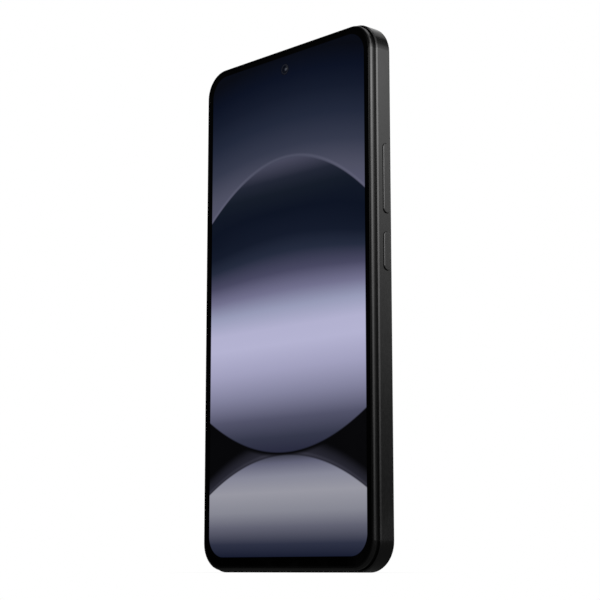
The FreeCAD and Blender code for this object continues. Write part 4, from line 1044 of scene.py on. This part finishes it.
def make_floor():
    """A wide pale floor: white to the camera, with a soft contact shade, and dimmer in gloss."""
    shape = bmesh.new()
    bmesh.ops.create_grid(shape, x_segments=1, y_segments=1, size=FLOOR_HALF_SIZE)
    mesh = bpy.data.meshes.new("floor")
    shape.to_mesh(mesh)
    shape.free()
    floor = bpy.data.objects.new("floor", mesh)
    bpy.context.scene.collection.objects.link(floor)
    material = bpy.data.materials.new("floor")
    material.use_nodes = True
    tree = material.node_tree
    tree.nodes.clear()
    shade = put(tree, "ShaderNodeAmbientOcclusion", {"Distance": CONTACT_SHADE_REACH}, samples=8)
    tone = spread(tree, shade.outputs["AO"], 0.35, 1.0, CONTACT_SHADE_DARKEST, 1.0)
    spot = tree.nodes.new("ShaderNodeTexCoord").outputs["Object"]
    place = put(tree, "ShaderNodeSeparateXYZ", {0: spot}).outputs
    behind = spread(tree, place["Y"], 0.03, 0.5, *FLOOR_BEHIND, smooth=True)
    beside = spread(tree, place["X"], 0.12, 0.8, *FLOOR_BESIDE, smooth=True)
    gloss = sum_of(tree, "ADD", behind, beside)
    show_to_camera(tree, tone, gloss, "ShaderNodeEmission", "ShaderNodeOutputMaterial")
    mesh.materials.append(material)


# how bright the studio is at each height above the horizon, as the sine of the climb
LIGHT_WALL = (
    (0.0, 0.03),
    (0.1, 0.115),
    (0.2, 0.4),
    (0.3, 1.05),
    (0.36, 1.3),
    (0.42, 0.7),
    (0.55, 0.22),
    (0.8, 0.3),
    (1.0, 0.6),
)
# the wall gets brighter towards this way; the range is the cosines where it starts and ends
BRIGHT_SIDE = (0.95, -0.3, 0.0)
BRIGHT_SIDE_RANGE = (-0.4, 0.9)
BRIGHT_SIDE_POWER = 2.3
BRIGHT_SIDE_LEVEL = 2.5
DARK_SIDE_LEVEL = 0.01
# soft panels: the way to each, how near the way counts (as cosines), and its brightness
BACK_PANEL = ((-0.45, 0.89, 0.0), (0.6, 0.95), 0.5)
SIDE_PANEL = ((0.985, -0.17, 0.0), (0.86, 0.99), 0.3)


def nearness(tree, direction, way):
    """How nearly a direction points one way: 1 along it, 0 across it."""
    made = put(tree, "ShaderNodeVectorMath", {0: direction}, operation="DOT_PRODUCT")
    made.inputs[1].default_value = way
    return made.outputs["Value"]


def light_panel(tree, direction, panel):
    """The light of one soft panel in the studio."""
    way, reach, brightness = panel
    return spread(tree, nearness(tree, direction, way), *reach, 0.0, brightness, smooth=True)


def make_world():
    """White to the camera. As light, dark at the horizon and brighter higher up and to the right."""
    world = bpy.data.worlds.new("studio")
    bpy.context.scene.world = world
    world.use_nodes = True
    tree = world.node_tree
    tree.nodes.clear()
    direction = tree.nodes.new("ShaderNodeTexCoord").outputs["Generated"]
    height = put(tree, "ShaderNodeSeparateXYZ", {0: direction}).outputs["Z"]
    wall = put(tree, "ShaderNodeValToRGB", {"Fac": height})
    while len(wall.color_ramp.elements) < len(LIGHT_WALL):
        wall.color_ramp.elements.new(0.5)
    for element, (climb, brightness) in zip(wall.color_ramp.elements, LIGHT_WALL):
        element.position = climb
        element.color = grey(brightness)
    turn = spread(tree, nearness(tree, direction, BRIGHT_SIDE), *BRIGHT_SIDE_RANGE)
    side = sum_of(tree, "POWER", turn, BRIGHT_SIDE_POWER)
    side = sum_of(tree, "MULTIPLY_ADD", side, BRIGHT_SIDE_LEVEL, DARK_SIDE_LEVEL)
    back_light = light_panel(tree, direction, BACK_PANEL)
    side_light = light_panel(tree, direction, SIDE_PANEL)
    panels = sum_of(tree, "ADD", back_light, side_light)
    level = sum_of(tree, "MULTIPLY_ADD", wall.outputs["Color"], side, panels)
    show_to_camera(tree, WHITE, level, "ShaderNodeBackground", "ShaderNodeOutputWorld")


LAMP_TARGET = Vector((0, 0, 0.08))


def soft_light(name, place, size, power):
    """A square lamp aimed at the phone, hidden from the camera."""
    data = bpy.data.lights.new(name, "AREA")
    data.shape = "SQUARE"
    data.size = size
    data.energy = power
    lamp = bpy.data.objects.new(name, data)
    bpy.context.scene.collection.objects.link(lamp)
    lamp.location = place
    lamp.rotation_euler = (LAMP_TARGET - Vector(place)).to_track_quat("-Z", "Y").to_euler()
    lamp.visible_camera = False


make_floor()
make_world()
soft_light("right_lamp", (1.3, -0.25, 1.0), 1.0, 2.5)
soft_light("top_lamp", (0.2, 0.2, 1.8), 1.2, 4.0)
soft_light("back_lamp", (-0.9, 1.3, 0.9), 2.4, 7.0)

# a camera low on the right, tilted up; its turn and tilt are in degrees
CAMERA_PLACE = (0.345146, -0.324931, 0.000812)
CAMERA_TURN = 46.501
CAMERA_TILT = 9.765
CAMERA_FOCAL_LENGTH = 94.05
CAMERA_SENSOR = 36.0
CAMERA_NEAREST = 0.01


def make_camera():
    """The main camera."""
    data = bpy.data.cameras.new("camera")
    data.lens = CAMERA_FOCAL_LENGTH
    data.sensor_width = CAMERA_SENSOR
    data.clip_start = CAMERA_NEAREST
    camera = bpy.data.objects.new("camera", data)
    bpy.context.scene.collection.objects.link(camera)
    camera.location = CAMERA_PLACE
    camera.rotation_euler = (math.radians(90 + CAMERA_TILT), 0, math.radians(CAMERA_TURN))
    return camera


bpy.context.scene.camera = make_camera()
bpy.context.scene.view_settings.view_transform = "Standard"
